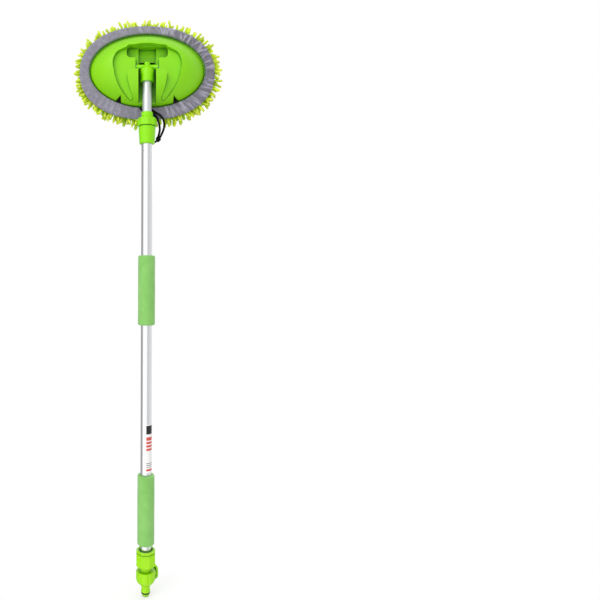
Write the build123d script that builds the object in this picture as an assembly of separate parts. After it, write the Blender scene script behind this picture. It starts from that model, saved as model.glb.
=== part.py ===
from build123d import *
import math
import os
import random

# Telescopic wash brush with a hinged chenille head, in millimetres.
# The origin is on the pole's axis at the hose nipple's shoulder, where a hose connector stops.
# +Z runs up the pole, +X is the head's width and +Y is the side the chenille faces.

# Clearances shared by the whole brush
shaft_clearance = 0.06      # radial, between a shaft and its bearing
pass_clearance = 0.3        # between faces that move past each other
seat_clearance = 0.05       # between pieces that are pushed together
overrun = 3.0               # how far a cutting shape runs past the face that it cuts

# Hose nipple, a plug for the common click-on hose connector
nipple_length = 18.6
nipple_radius = 7.8
nipple_bore_radius = 4.5
nipple_tip_radius = 5.4
nipple_nose_radius = 6.3
nipple_nose_chamfer = 1.6
nipple_waist_radius = 6.8
nipple_ridge_height = 2.4
nipple_base_height = 3.2
nipple_slope = 0.8
nipple_shank_radius = 7.0
nipple_shank_length = 5.0
nipple_seal_height = 6.0
nipple_seal_wire = 3.0

# Valve: a bored ball in two seats, turned by a lever
valve_height = 14.5
valve_turn_angle = 45.0     # degrees, where the stem points: between +X and +Y
ball_radius = 7.0
ball_bore_radius = 4.0
ball_slot_depth = 2.2
chamber_radius = 7.3
seat_height = 4.6
seat_web = 1.3
bell_radius = 16.5
bell_height = 24.5
bell_foot_radius = 8.6
bell_shares = [(0.3, 0.10), (0.66, 0.21), (0.9, 0.34), (1.0, 0.45), (1.0, 0.94), (0.85, 1.0)]
flute_count = 8
flute_start_share = 0.4     # of the step between flutes
flute_radius = 2.2
flute_depth = 1.2
neck_radius = 9.6
neck_height = 9.0
spigot_radius = 11.9
spigot_height = 10.5
retainer_height = 4.5
bonnet_radius = 7.0
bonnet_reach = 18.5
stem_radius = 3.5
stem_tang_width = 2.8
stem_square = 4.4
stem_seal_wire = 1.7
stem_seal_depth = 0.85
lever_length = 25.0
lever_width = 16.0
lever_thickness = 4.6
lever_boss_radius = 6.5
lever_boss_height = 5.8
lever_rounding = 1.2
lever_screw_radius = 1.3
lever_screw_head_radius = 2.7
lever_screw_head_height = 1.4
lever_screw_length = 7.0
lever_recess_radius = 3.3
lever_recess_depth = 2.2
stem_drive_height = 2.4

# Coupling between the valve and the outer tube
coupling_radius = 17.1
coupling_facet_radius = 17.3    # to the corners of its facets
facet_count = 8
coupling_height = 26.7
coupling_thread_radius = 12.0
coupling_web = 3.0
coupling_chamfer = 2.4
coupling_mouth_radius = 11.4
coupling_mouth_depth = 2.6
washer_height = 2.0
washer_bore_radius = 6.5

# Pole tubes
outer_tube_radius = 9.5
outer_tube_wall = 1.2
outer_tube_length = 728.0
inner_tube_radius = 8.0
inner_tube_wall = 1.0
inner_tube_length = 703.0
crimp_below_top = 36.0
crimp_width = 1.8
crimp_depth = 0.45

# Guide plug in the foot of the inner tube
guide_height = 12.0
guide_spigot = 12.0
guide_bore_radius = 4.0
guide_seal_wire = 2.0
guide_seal_depth = 1.3

# Foam grips and the blank label
grip_radius = 14.6
grip_length = 119.0
grip_rounding = 2.6
lower_grip_gap = 9.3        # above the coupling
middle_grip_height = 443.8  # its foot above the origin
label_gap = 5.0             # above the lower grip
label_height = 82.0
label_thickness = 0.25
label_wrap = 217.0          # degrees round the tube
label_start = -100.0        # degrees, where its edge lies: just left of the middle of the back

# Twist lock at the top of the outer tube
collar_grip_length = 24.0   # how much of the outer tube it holds
sleeve_length = 29.0
sleeve_foot_radius = 13.0
sleeve_top_radius = 14.7
sleeve_foot_chamfer = 1.4
collar_lip = 2.0
collar_bore_radius = 10.8
thread_radius = 13.0
thread_height = 9.5
lock_seal_height = 2.6
collet_radius = 10.5
collet_wall_top = 1.1
collet_cone_height = 4.4
collet_slot = 2.0
collet_slot_count = 4
nut_gap = 1.6
nut_corner_radius = 16.5
nut_facet_turn = 6.0        # degrees, from a corner straight at the back
nut_side_height = 12.0
nut_chamfer_height = 4.2
nut_neck_radius = 9.9
nut_neck_height = 7.4
nut_cone_start = 9.4        # above the nut's foot
nut_cone_height = 7.0
nut_bore_gap = 0.4          # around the inner tube

# Hub on the inner tube, with the tilt pivot
pivot_height = 885.0
hub_radius = 12.0
hub_socket_depth = 14.0
hub_web = 12.0              # from the tube's end to the pivot axis
hub_shoulder = 6.0          # below the pivot axis
hub_shoulder_taper = 32.0   # degrees
bar_radius = 4.0
bar_length = 37.0
spout_radius = 4.9
spout_reach = 7.6           # above the pivot axis
spout_bore_radius = 3.0
pin_radius = 2.0
pin_length = 17.0
pin_bite = 6.0              # how far each pin goes into the head's boss
hub_screw_radius = 1.4
hub_screw_length = 5.6
hub_screw_head_radius = 2.7
hub_screw_head_height = 1.8
hub_screw_height = 7.0      # above the hub's foot

# Head plate, a domed moulding. Its depths are along Y from the pivot axis.
plate_half_width = 100.0
plate_half_height = 62.6
plate_back = -18.0          # the crown of the dome
plate_rim = 24.0
plate_wall = 3.0
flange_half_width = 111.0
flange_half_height = 74.0
flange_depth = 8.0
flange_ledge = 1.5          # how far the flange's opening stands in from the dome's wall
dome_shares = [(1.0, 0.0), (0.967, 0.125), (0.931, 0.25), (0.841, 0.5), (0.707, 0.75),
               (0.562, 0.9), (0.4, 0.975)]
recess_upper_shares = [(0.0, 1.0), (0.45, 0.91), (0.87, 0.66), (1.0, 0.3), (0.985, -0.2)]
recess_lower_shares = [(0.84, 0.62), (0.51, 0.99), (0.445, 0.985), (0.43, 0.89), (0.545, 0.58), (0.58, 0.32),
                       (0.55, 0.2), (0.46, 0.156)]
recess_half_width = 57.5
recess_rise = 36.0
recess_drop = 54.5
recess_floor = -5.0
recess_floor_end = 12.5
recess_bend_height = -12.0  # where the floor begins to curve towards the chenille
channel_floor = 14.0
pocket_floor = 6.0
pocket_half_width = 35.0
pocket_rise = 34.0
pocket_foot = 15.0
pocket_rounding = 6.0
slot_half_width = 20.0
island_top = -8.5
channel_half_width = 15.0
boss_radius = 5.0
boss_length = 9.0
drain_inner = 45.5
drain_outer = 58.0
drain_apex = 45.5           # below the pivot axis
drain_shoulder = 51.8
drain_foot = 60.0
window_half_width = 13.0    # of the water way behind the bar
window_low = -3.0
window_high = 13.0
rib_thickness = 2.5
rib_spacing = 78.0

# Sponge pad and chenille cover on the head's front
pad_half_width = 106.0
pad_half_height = 69.0
cover_half_width = 114.5
cover_half_height = 77.5
cover_cloth = 1.5
cover_crown = 47.8
front_radius_tall = 212.0
front_radius_wide = 440.0

# Elastic hem with its drawstring
hem_half_width = 119.0
hem_half_height = 82.5
hem_drop = 2.0              # of the outer oval's middle below the pivot axis
hem_opening_half_width = 101.5
hem_opening_half_height = 64.5
hem_opening_rise = 1.5
hem_back = 18.3
hem_rounding = 1.6
cord_diameter = 3.8
tunnel_radius = 2.2
tunnel_gap_half_width = 16.0

# Chenille strands
strand_pitch = 8.7
strand_width = 4.5
strand_tip_width = 3.8
strand_length = 26.0
strand_root = 1.0
strand_splay = 44.0         # degrees, added to the cloth's normal at the edge
edge_strand_length = 19.0
edge_strand_pitch = 9.2
edge_strand_depth = 29.5    # along Y from the pivot axis
edge_strand_lean = 6.0      # degrees towards the front
strand_edge_share = 0.955
strand_jitter_share = 0.07
strand_straight_share = 0.1    # less sideways lean than this counts as none

# The drawstring's two free ends, chosen point by point
cord_bend_share = 0.45      # of the shorter run beside a corner, taken up by its bend
right_cord_points = [
    (8.0, 21.0, 819.5), (9.6, 15.9, 815.4), (15.8, 14.6, 811.4), (23.5, 15.0, 807.0),
    (29.2, 15.8, 799.0), (30.4, 16.6, 789.0), (27.4, 17.4, 778.5), (22.6, 17.8, 769.6)]
left_cord_points = [
    (-12.6, 21.0, 820.8), (-10.2, 16.2, 817.4), (-3.8, 13.0, 815.6), (5.0, 12.4, 813.4),
    (13.4, 13.0, 808.0), (19.0, 14.2, 799.0), (22.0, 14.8, 788.5), (22.2, 14.4, 778.0),
    (19.2, 13.8, 769.6)]
knot_centre = (19.6, 16.0, 764.6)
knot_core_radius = 4.2
knot_loop_radius = 3.2
knot_tail_ends = [(11.6, 16.4, 759.4), (20.4, 18.8, 758.2)]

# Levels that follow from the sizes above
chamber_floor = valve_height - ball_radius - seat_web
bell_top = bell_height
neck_top = bell_top + neck_height
spigot_top = neck_top + spigot_height
coupling_top = neck_top + coupling_height
tube_foot = spigot_top + washer_height + coupling_web
outer_tube_bore = outer_tube_radius - outer_tube_wall
outer_tube_top = tube_foot + outer_tube_length
lower_grip_foot = coupling_top + lower_grip_gap
label_foot = lower_grip_foot + grip_length + label_gap
sleeve_foot = outer_tube_top - collar_grip_length
sleeve_top = sleeve_foot + sleeve_length
collar_seat = outer_tube_top + collar_lip
thread_top = sleeve_top + thread_height
nut_foot = sleeve_top + nut_gap
nut_side_top = nut_foot + nut_side_height
nut_chamfer_top = nut_side_top + nut_chamfer_height
nut_top = nut_chamfer_top + nut_neck_height
nut_bore_radius = inner_tube_radius + nut_bore_gap
inner_tube_bore = inner_tube_radius - inner_tube_wall
inner_tube_top = pivot_height - hub_web
inner_tube_foot = inner_tube_top - inner_tube_length
hub_foot = inner_tube_top - hub_socket_depth
flange_front = plate_rim + flange_depth
pad_back = plate_rim + plate_wall
cover_back = plate_rim
cord_radius = cord_diameter / 2


def turned(points):
    """Solid of revolution about the pole's axis from points of (radius, height)."""
    outline = Polyline([(radius, 0, height) for radius, height in points], close=True)
    return revolve(make_face(outline), axis=Axis.Z)


def tube(outer, inner, foot, top):
    """Round tube on the pole's axis."""
    return turned([(inner, foot), (outer, foot), (outer, top), (inner, top)])


def seal(inner, outer, height):
    """Round rubber ring that fills the space between two radii."""
    wire = (outer - inner) / 2
    return Pos(0, 0, height) * Torus(inner + wire, wire)


def across(radius, start, end, y=0, z=0):
    """Round bar along X from start to end."""
    plane = Plane(origin=(start, y, z), x_dir=(0, 1, 0), z_dir=(1, 0, 0))
    return extrude(plane * Circle(radius), amount=end - start)


def head_plane(depth):
    """Plane square to Y at a depth from the pivot, with X to the right and its own Y up."""
    return Plane(origin=(0, depth, pivot_height), x_dir=(1, 0, 0), z_dir=(0, -1, 0))


def oval_block(half_width, half_height, back, front):
    """Oval block of the head between two depths."""
    return extrude(head_plane(front) * Ellipse(half_width, half_height), amount=front - back)


def head_prism(outline, back, front):
    """Prism of the head from an outline drawn in X and height above the pivot."""
    return extrude(head_plane(front) * outline, amount=front - back)


def head_box(x_low, x_high, back, front, low, high):
    """Box of the head, its heights measured from the pivot."""
    width, depth, height = x_high - x_low, front - back, high - low
    centre = ((x_low + x_high) / 2, (back + front) / 2, pivot_height + (low + high) / 2)
    return Pos(*centre) * Box(width, depth, height)


def save(node, part):
    export_step(part, os.path.join("parts", node + ".step"))


# Bottom connector

def make_nipple():
    tip = -nipple_length
    groove_low = tip + nipple_seal_height - nipple_seal_wire / 2
    groove_high = groove_low + nipple_seal_wire
    groove_radius = nipple_radius - nipple_seal_wire
    ridge_top = groove_high + nipple_ridge_height
    base_foot = -nipple_base_height
    return turned([
        (nipple_bore_radius, tip), (nipple_tip_radius, tip), (nipple_nose_radius, tip + nipple_nose_chamfer),
        (nipple_nose_radius, groove_low), (groove_radius, groove_low), (groove_radius, groove_high),
        (nipple_radius, groove_high), (nipple_radius, ridge_top),
        (nipple_waist_radius, ridge_top + nipple_slope), (nipple_waist_radius, base_foot - nipple_slope),
        (nipple_radius, base_foot), (nipple_radius, 0), (nipple_shank_radius, 0),
        (nipple_shank_radius, nipple_shank_length), (nipple_bore_radius, nipple_shank_length)])


def make_nipple_seal():
    return seal(nipple_radius - nipple_seal_wire, nipple_radius, nipple_seal_height - nipple_length)


def stem_plane(reach):
    """Plane square to the valve stem at a distance from the pole's axis, its own X up the pole."""
    angle = math.radians(valve_turn_angle)
    outward = Vector(math.cos(angle), math.sin(angle), 0)
    origin = Vector(0, 0, valve_height) + outward * reach
    return Plane(origin=origin, x_dir=(0, 0, 1), z_dir=outward)


def stem_bar(radius, start, end):
    return extrude(stem_plane(start) * Circle(radius), amount=end - start)


def make_valve_body():
    bell = [(bell_foot_radius + share * (bell_radius - bell_foot_radius), level * bell_height)
            for share, level in bell_shares]
    body = turned(
        [(nipple_shank_radius, 0), (bell_foot_radius, 0)] + bell
        + [(neck_radius, bell_top), (neck_radius, neck_top), (spigot_radius, neck_top),
           (spigot_radius, spigot_top), (nipple_bore_radius, spigot_top),
           (nipple_bore_radius, nipple_shank_length), (nipple_shank_radius, nipple_shank_length)])
    flute_centre = bell_radius + flute_radius - flute_depth
    flutes = [Rot(0, 0, (number + flute_start_share) * 360 / flute_count) * Pos(flute_centre, 0, 0)
              * Cylinder(flute_radius, bell_height + overrun, align=(Align.CENTER, Align.CENTER, Align.MIN))
              for number in range(flute_count)]
    body = body - flutes
    body = body + stem_bar(bonnet_radius, 0, bonnet_reach)
    chamber = tube(chamber_radius, 0, chamber_floor, spigot_top + overrun)
    return body - chamber - stem_bar(stem_radius + shaft_clearance, 0, bonnet_reach + overrun) \
        - tube(nipple_bore_radius, 0, nipple_shank_length, chamber_floor)


def make_ball_seats():
    socket = Pos(0, 0, valve_height) * Sphere(ball_radius + shaft_clearance)
    lower = tube(chamber_radius, nipple_bore_radius, chamber_floor, chamber_floor + seat_height) - socket
    upper = lower.mirror(Plane.XY.offset(valve_height))
    return Compound(children=[lower.solid(), upper.solid()])


def make_seat_retainer():
    foot = 2 * valve_height - chamber_floor
    return tube(chamber_radius, nipple_bore_radius, foot, foot + retainer_height)


def make_valve_ball():
    ball = Pos(0, 0, valve_height) * Sphere(ball_radius)
    bore_reach = ball_radius + overrun
    bore = tube(ball_bore_radius, 0, valve_height - bore_reach, valve_height + bore_reach)
    slot_width = stem_tang_width + 2 * shaft_clearance
    slot = extrude(stem_plane(ball_radius - ball_slot_depth) * Rectangle(2 * ball_radius, slot_width),
                   amount=ball_slot_depth + overrun)
    return ball - bore - slot


def make_valve_stem():
    tang_foot = ball_radius - ball_slot_depth + shaft_clearance
    shaft_foot = ball_radius + shaft_clearance
    square_top = lever_foot() + stem_drive_height
    tang = extrude(stem_plane(tang_foot) * Rectangle(2 * stem_radius, stem_tang_width),
                   amount=shaft_foot - tang_foot) & stem_bar(stem_radius, tang_foot, shaft_foot)
    stem = stem_bar(stem_radius, shaft_foot, bonnet_reach) + tang
    stem = stem + extrude(stem_plane(bonnet_reach) * Rectangle(stem_square, stem_square),
                          amount=square_top - bonnet_reach)
    groove = stem_bar(stem_radius + overrun, stem_seal_middle() - stem_seal_wire / 2,
                      stem_seal_middle() + stem_seal_wire / 2) \
        - stem_bar(stem_radius - stem_seal_depth, 0, bonnet_reach)
    return stem - groove - stem_bar(lever_screw_radius, screw_tip(), square_top + overrun)


def stem_seal_middle():
    return (chamber_radius + bonnet_reach) / 2


def make_stem_seal():
    wire = stem_seal_depth / 2
    ring = Torus(stem_radius - wire, wire)
    return stem_plane(stem_seal_middle()).location * ring


def lever_foot():
    return bonnet_reach + pass_clearance


def recess_foot():
    return lever_foot() + lever_boss_height - lever_recess_depth


def screw_tip():
    return recess_foot() - lever_screw_length


def make_lever():
    foot = lever_foot()
    wing = extrude(stem_plane(foot) * SlotOverall(lever_length, lever_width), amount=lever_thickness)
    stem_axis = Axis(origin=(0, 0, valve_height), direction=stem_plane(0).z_dir)
    outer_face = wing.faces().sort_by(stem_axis)[-1]
    wing = fillet(outer_face.edges(), min(lever_rounding, lever_thickness / 2))
    lever = wing + stem_bar(lever_boss_radius, foot, foot + lever_boss_height)
    drive = stem_square + 2 * seat_clearance
    square = extrude(stem_plane(foot) * Rectangle(drive, drive), amount=stem_drive_height + seat_clearance)
    screw_hole = stem_bar(lever_screw_radius + seat_clearance, foot, foot + lever_boss_height)
    recess = stem_bar(lever_recess_radius, recess_foot(), foot + lever_boss_height + overrun)
    return lever - square - screw_hole - recess


def make_lever_screw():
    head = stem_bar(lever_screw_head_radius, recess_foot(), recess_foot() + lever_screw_head_height)
    slot = extrude(stem_plane(recess_foot() + lever_screw_head_height / 2)
                   * Rectangle(2 * lever_screw_head_radius, lever_screw_head_height / 2),
                   amount=lever_screw_head_height)
    return head - slot + stem_bar(lever_screw_radius, screw_tip(), recess_foot())


def make_coupling():
    side_foot = neck_top + coupling_chamfer / 2
    side_top = coupling_top - coupling_chamfer
    edge_radius = coupling_radius - coupling_chamfer / 2
    envelope = turned([
        (0, neck_top), (edge_radius, neck_top), (coupling_radius, side_foot), (coupling_radius, side_top),
        (coupling_radius - coupling_chamfer, coupling_top), (0, coupling_top)])
    facets = Rot(0, 0, 180 / facet_count) * RegularPolygon(coupling_facet_radius, facet_count)
    prism = Pos(0, 0, neck_top) * extrude(facets, amount=coupling_height)
    washer_top = spigot_top + washer_height
    mouth_foot = coupling_top - coupling_mouth_depth
    hollow = turned([
        (0, neck_top - overrun), (coupling_thread_radius, neck_top - overrun),
        (coupling_thread_radius, washer_top), (washer_bore_radius, washer_top),
        (washer_bore_radius, tube_foot), (outer_tube_radius, tube_foot),
        (outer_tube_radius, mouth_foot), (coupling_mouth_radius, mouth_foot),
        (coupling_mouth_radius, coupling_top + overrun), (0, coupling_top + overrun)])
    return (envelope & prism) - hollow


def make_washer():
    return tube(spigot_radius, washer_bore_radius, spigot_top, spigot_top + washer_height)


# Pole

def make_outer_tube():
    crimp = outer_tube_top - crimp_below_top
    return turned([
        (outer_tube_bore, tube_foot), (outer_tube_radius, tube_foot),
        (outer_tube_radius, crimp - crimp_width / 2), (outer_tube_radius - crimp_depth, crimp),
        (outer_tube_radius, crimp + crimp_width / 2), (outer_tube_radius, outer_tube_top),
        (outer_tube_bore, outer_tube_top)])


def make_grip(foot):
    """Foam sleeve with rounded ends, pushed on the outer tube."""
    body = Cylinder(grip_radius, grip_length, align=(Align.CENTER, Align.CENTER, Align.MIN))
    foam_wall = grip_radius - outer_tube_radius
    ends = body.edges().filter_by(GeomType.CIRCLE)
    body = Pos(0, 0, foot) * fillet(ends, min(grip_rounding, foam_wall - seat_clearance))
    return body - tube(outer_tube_radius, 0, foot - overrun, foot + grip_length + overrun)


def make_label():
    film = Cylinder(outer_tube_radius + label_thickness, label_height, arc_size=label_wrap,
                    align=(Align.NONE, Align.NONE, Align.MIN))
    film = Pos(0, 0, label_foot) * Rot(0, 0, label_start) * film
    return film - tube(outer_tube_radius, 0, label_foot - overrun, label_foot + label_height + overrun)


def make_lock_body():
    return turned([
        (outer_tube_radius, sleeve_foot), (sleeve_foot_radius - sleeve_foot_chamfer, sleeve_foot),
        (sleeve_foot_radius, sleeve_foot + sleeve_foot_chamfer), (sleeve_top_radius, sleeve_top),
        (thread_radius, sleeve_top), (thread_radius, thread_top), (collar_bore_radius, thread_top),
        (collar_bore_radius, collar_seat), (outer_tube_bore, collar_seat), (outer_tube_bore, outer_tube_top),
        (outer_tube_radius, outer_tube_top)])


def nut_cone_radius(level):
    """Radius of the cone inside the nut at a height."""
    wide = thread_radius + pass_clearance
    fall = (level - nut_foot - nut_cone_start) / nut_cone_height
    return wide + fall * (nut_bore_radius - wide)


def make_lock_collet():
    foot = collar_seat + lock_seal_height
    cone_foot = nut_foot + nut_cone_start + pass_clearance
    cone_top = cone_foot + collet_cone_height
    bore = inner_tube_radius + shaft_clearance
    cone_gap = 2 * pass_clearance
    top_radius = max(nut_cone_radius(cone_top) - cone_gap, bore + collet_wall_top)
    collet = turned([
        (bore, foot), (collet_radius, foot), (collet_radius, thread_top + pass_clearance),
        (nut_cone_radius(cone_foot) - cone_gap, cone_foot), (top_radius, cone_top), (bore, cone_top)])
    slot_foot = foot + collet_cone_height
    slot_height = cone_top - slot_foot + overrun
    slots = [Rot(0, 0, number * 360 / collet_slot_count) * Pos(thread_radius / 2, 0, slot_foot)
             * Box(thread_radius, collet_slot, slot_height, align=(Align.CENTER, Align.CENTER, Align.MIN))
             for number in range(collet_slot_count)]
    return collet - slots


def make_lock_seal():
    bore = inner_tube_radius + shaft_clearance
    return tube(collar_bore_radius, bore, collar_seat, collar_seat + lock_seal_height)


def make_lock_nut():
    envelope = turned([
        (0, nut_foot), (nut_corner_radius, nut_foot), (nut_corner_radius, nut_side_top),
        (nut_neck_radius, nut_chamfer_top), (nut_neck_radius, nut_top - nut_bore_gap),
        (nut_neck_radius - nut_bore_gap, nut_top), (0, nut_top)])
    facets = Rot(0, 0, nut_facet_turn) * RegularPolygon(nut_corner_radius, facet_count)
    prism = Pos(0, 0, nut_foot) * extrude(facets, amount=nut_top - nut_foot)
    cone_foot = nut_foot + nut_cone_start
    cone_top = cone_foot + nut_cone_height
    wide = thread_radius + pass_clearance
    hollow = turned([
        (0, nut_foot - overrun), (wide, nut_foot - overrun), (wide, cone_foot), (nut_bore_radius, cone_top),
        (nut_bore_radius, nut_top + overrun), (0, nut_top + overrun)])
    return (envelope & prism) - hollow


def make_inner_tube():
    return tube(inner_tube_radius, inner_tube_bore, inner_tube_foot, inner_tube_top)


def guide_seal_levels():
    top = inner_tube_foot - pass_clearance
    return [top - guide_height / 4, top - guide_height * 3 / 4]


def make_guide_bush():
    top = inner_tube_foot - pass_clearance
    foot = top - guide_height
    radius = outer_tube_bore - shaft_clearance
    groove_radius = radius - guide_seal_depth
    bush = turned([
        (guide_bore_radius, foot), (radius, foot), (radius, top), (inner_tube_bore - shaft_clearance, top),
        (inner_tube_bore - shaft_clearance, top + guide_spigot), (guide_bore_radius, top + guide_spigot)])
    for level in guide_seal_levels():
        groove_foot = level - guide_seal_wire / 2
        bush = bush - tube(radius + overrun, groove_radius, groove_foot, groove_foot + guide_seal_wire)
    return bush


def make_guide_seals():
    radius = outer_tube_bore - shaft_clearance
    rings = [seal(radius - guide_seal_depth, radius, level).solid() for level in guide_seal_levels()]
    return Compound(children=rings)


# Hub and pivot

def make_hub():
    socket = tube(hub_radius, 0, hub_foot, pivot_height - hub_shoulder)
    shoulder = extrude(Circle(hub_radius), amount=hub_shoulder, taper=hub_shoulder_taper)
    shoulder = Pos(0, 0, pivot_height - hub_shoulder) * shoulder
    bar = across(bar_radius, -bar_length / 2, bar_length / 2, z=pivot_height)
    spout = tube(spout_radius, 0, pivot_height - hub_shoulder, pivot_height + spout_reach)
    hub = socket + shoulder + bar + spout
    hub = hub - tube(inner_tube_radius, 0, hub_foot - overrun, inner_tube_top)
    hub = hub - tube(spout_bore_radius, 0, inner_tube_top, pivot_height + spout_reach + overrun)
    for side in (-1, 1):
        hub = hub - pin_bar(side)
    return hub - hub_screw_shape()


def pin_bar(side):
    """One steel pivot pin, pressed in the bar and turning in the head's boss."""
    outer = bar_length / 2 + slot_gap() + pin_bite
    ends = sorted([side * (outer - pin_length), side * outer])
    return across(pin_radius, ends[0], ends[1], z=pivot_height)


def slot_gap():
    return slot_half_width - bar_length / 2


def make_pivot_pins():
    return Compound(children=[pin_bar(side).solid() for side in (-1, 1)])


def hub_screw_shape():
    """Round head sunk in the hub's front and a shank through the tube's wall."""
    level = hub_foot + hub_screw_height
    front = Plane(origin=(0, hub_radius, level), x_dir=(1, 0, 0), z_dir=(0, -1, 0))
    head = extrude(front * Circle(hub_screw_head_radius), amount=hub_screw_head_height)
    return head + extrude(front * Circle(hub_screw_radius), amount=hub_screw_length)


def make_inner_tube_drilled():
    return make_inner_tube() - hub_screw_shape()


# Head plate

def dome(half_width, half_height, back, rim):
    """Closed dome whose height falls with the fourth power of the distance from its middle."""
    sections = [head_plane(rim + level * (back - rim)) * Ellipse(half_width * share, half_height * share)
                for share, level in dome_shares]
    return loft(Sketch() + sections)


def recess_outline(margin=0):
    """D-shaped recess with two horns, right half mirrored, as a face grown by a margin."""
    points = [(x * recess_half_width, y * recess_rise) for x, y in recess_upper_shares]
    points += [(x * recess_half_width, -y * recess_drop) for x, y in recess_lower_shares]
    points[-1] = (points[-1][0], island_top)
    arcs = [ThreePointArc(*points[start:start + 3]) for start in range(0, len(points) - 2, 2)]
    face = make_face(Curve() + arcs + [Polyline(points[-1], (0, island_top), points[0])])
    whole = face + mirror(face, about=Plane.YZ)
    return offset(whole, amount=margin, kind=Kind.ARC) if margin else whole


def pocket_outline(margin=0):
    """Pocket above the pivot and slot around the bar, grown by a margin."""
    pocket_height = pocket_rise - pocket_foot
    pocket = RectangleRounded(2 * (pocket_half_width + margin), pocket_height + 2 * margin, pocket_rounding)
    pocket = Pos(0, (pocket_rise + pocket_foot) / 2) * pocket
    slot_height = pocket_foot - island_top + 2 * margin + overrun
    slot = Rectangle(2 * (slot_half_width + margin), slot_height)
    return pocket + Pos(0, (pocket_foot + island_top + overrun) / 2) * slot


def channel_outline(margin=0):
    """Channel for the pole, from the head's foot up through the pocket, grown by a margin."""
    foot = -flange_half_height - overrun
    channel = Rectangle(2 * (channel_half_width + margin), pocket_rise + margin - foot)
    return Pos(0, (pocket_rise + margin + foot) / 2) * channel


def floor_block(depth_top, depth_foot):
    """Everything in front of the recess floor, which curves away below the pivot."""
    top, bend, foot = (pivot_height + height for height in (2 * recess_rise, recess_bend_height, -recess_drop))
    run, fall = bend - foot, depth_foot - depth_top
    radius = (run ** 2 + fall ** 2) / (2 * fall)
    half_angle = math.asin(run / radius) / 2
    middle = (0, depth_top + radius * (1 - math.cos(half_angle)), bend - radius * math.sin(half_angle))
    profile = Curve() + [
        Polyline([(0, depth_foot, foot), (0, 2 * flange_front, foot - overrun), (0, 2 * flange_front, top),
                  (0, depth_top, top), (0, depth_top, bend)]),
        ThreePointArc((0, depth_top, bend), middle, (0, depth_foot, foot))]
    return extrude(make_face(profile), amount=2 * recess_half_width, both=True)


def drain(side):
    """Notch in the dome's foot that lets water out of the head."""
    outline = make_face(Polyline([
        (side * drain_inner, -drain_apex), (side * drain_outer, -drain_shoulder),
        (side * drain_outer, -drain_foot), (side * drain_inner, -drain_foot)], close=True))
    return head_prism(outline, plate_back - overrun, flange_front)


def head_shape():
    """The dome filled solid."""
    return dome(plate_half_width, plate_half_height, plate_back, plate_rim)


def head_hollow():
    """The space under the dome's wall."""
    return dome(plate_half_width - plate_wall, plate_half_height - plate_wall,
                plate_back + plate_wall, plate_rim + seat_clearance)


def make_flange():
    flange = oval_block(flange_half_width, flange_half_height, plate_rim, flange_front)
    flange = flange - oval_block(flange_half_width - plate_wall, flange_half_height - plate_wall,
                                 plate_rim + plate_wall, flange_front + overrun)
    inset = plate_wall + flange_ledge
    return flange - oval_block(plate_half_width - inset, plate_half_height - inset,
                               plate_rim - overrun, flange_front + overrun)


def make_head_plate():
    outer = head_shape()
    reach = plate_back - overrun
    recess_walls = head_prism(recess_outline(plate_wall), reach, plate_rim) \
        - floor_block(recess_floor + plate_wall, recess_floor_end + plate_wall)
    pocket_walls = head_prism(pocket_outline(plate_wall), reach, pocket_floor + plate_wall)
    channel_walls = head_prism(channel_outline(plate_wall), reach, channel_floor + plate_wall)
    boss_end = slot_half_width + boss_length
    bosses = [across(boss_radius, slot_half_width, boss_end, z=pivot_height),
              across(boss_radius, -boss_end, -slot_half_width, z=pivot_height)]
    plate = (outer - head_hollow()) + (outer & (recess_walls + pocket_walls + channel_walls)) + bosses
    recess = head_prism(recess_outline(), reach, plate_rim) - floor_block(recess_floor, recess_floor_end)
    plate = plate - recess - head_prism(pocket_outline(), reach, pocket_floor)
    plate = plate - head_prism(channel_outline(), reach, channel_floor) + make_flange()
    window = Pos(0, (window_low + window_high) / 2) * Rectangle(2 * window_half_width, window_high - window_low)
    pin_reach = boss_end + overrun
    plate = plate - across(pin_radius + shaft_clearance, -pin_reach, pin_reach, z=pivot_height)
    return plate - head_prism(window, reach, plate_rim) - drain(1) - drain(-1)


def make_ribs():
    """Two ribs that stiffen the dome, one beside each horn of the recess."""
    blank = [head_box(side * rib_spacing - rib_thickness / 2, side * rib_spacing + rib_thickness / 2,
                      plate_back, plate_rim, -plate_half_height, plate_half_height) for side in (-1, 1)]
    return Compound(children=[(head_hollow() & rib).solid() for rib in blank])


# Sponge, cover, hem

def front_dome(half_width, half_height, back, crown, inset):
    """Oval block whose front face is curved both ways, inset behind the cover's face."""
    tall = front_radius_tall - inset
    wide = front_radius_wide - inset
    reach = min(2 * plate_half_height, tall)
    fall = tall - math.sqrt(tall ** 2 - reach ** 2)
    axis_depth = crown - wide
    face = make_face(Curve() + [
        ThreePointArc((0, axis_depth - wide + fall, -reach), (0, axis_depth - wide, 0),
                      (0, axis_depth - wide + fall, reach)),
        Polyline([(0, axis_depth - wide + fall, reach), (0, axis_depth, reach), (0, axis_depth, -reach),
                  (0, axis_depth - wide + fall, -reach)])])
    barrel = revolve(face, axis=Axis((0, axis_depth, 0), (0, 0, 1)))
    return oval_block(half_width, half_height, back, crown + overrun) & (Pos(0, 0, pivot_height) * barrel)


def make_sponge_pad():
    inset = cover_cloth + seat_clearance
    return front_dome(pad_half_width, pad_half_height, pad_back, cover_crown - inset, inset)


def make_cover_shell():
    outer = front_dome(cover_half_width, cover_half_height, cover_back, cover_crown, 0)
    inner = front_dome(cover_half_width - cover_cloth, cover_half_height - cover_cloth, cover_back - overrun,
                       cover_crown - cover_cloth, cover_cloth)
    return outer - inner


def front_depth(x, height):
    """Depth of the cover's face at a place on the head."""
    lift = math.sqrt(front_radius_tall ** 2 - height ** 2) - front_radius_tall
    return cover_crown - front_radius_wide + math.sqrt((front_radius_wide + lift) ** 2 - x ** 2)


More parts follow.
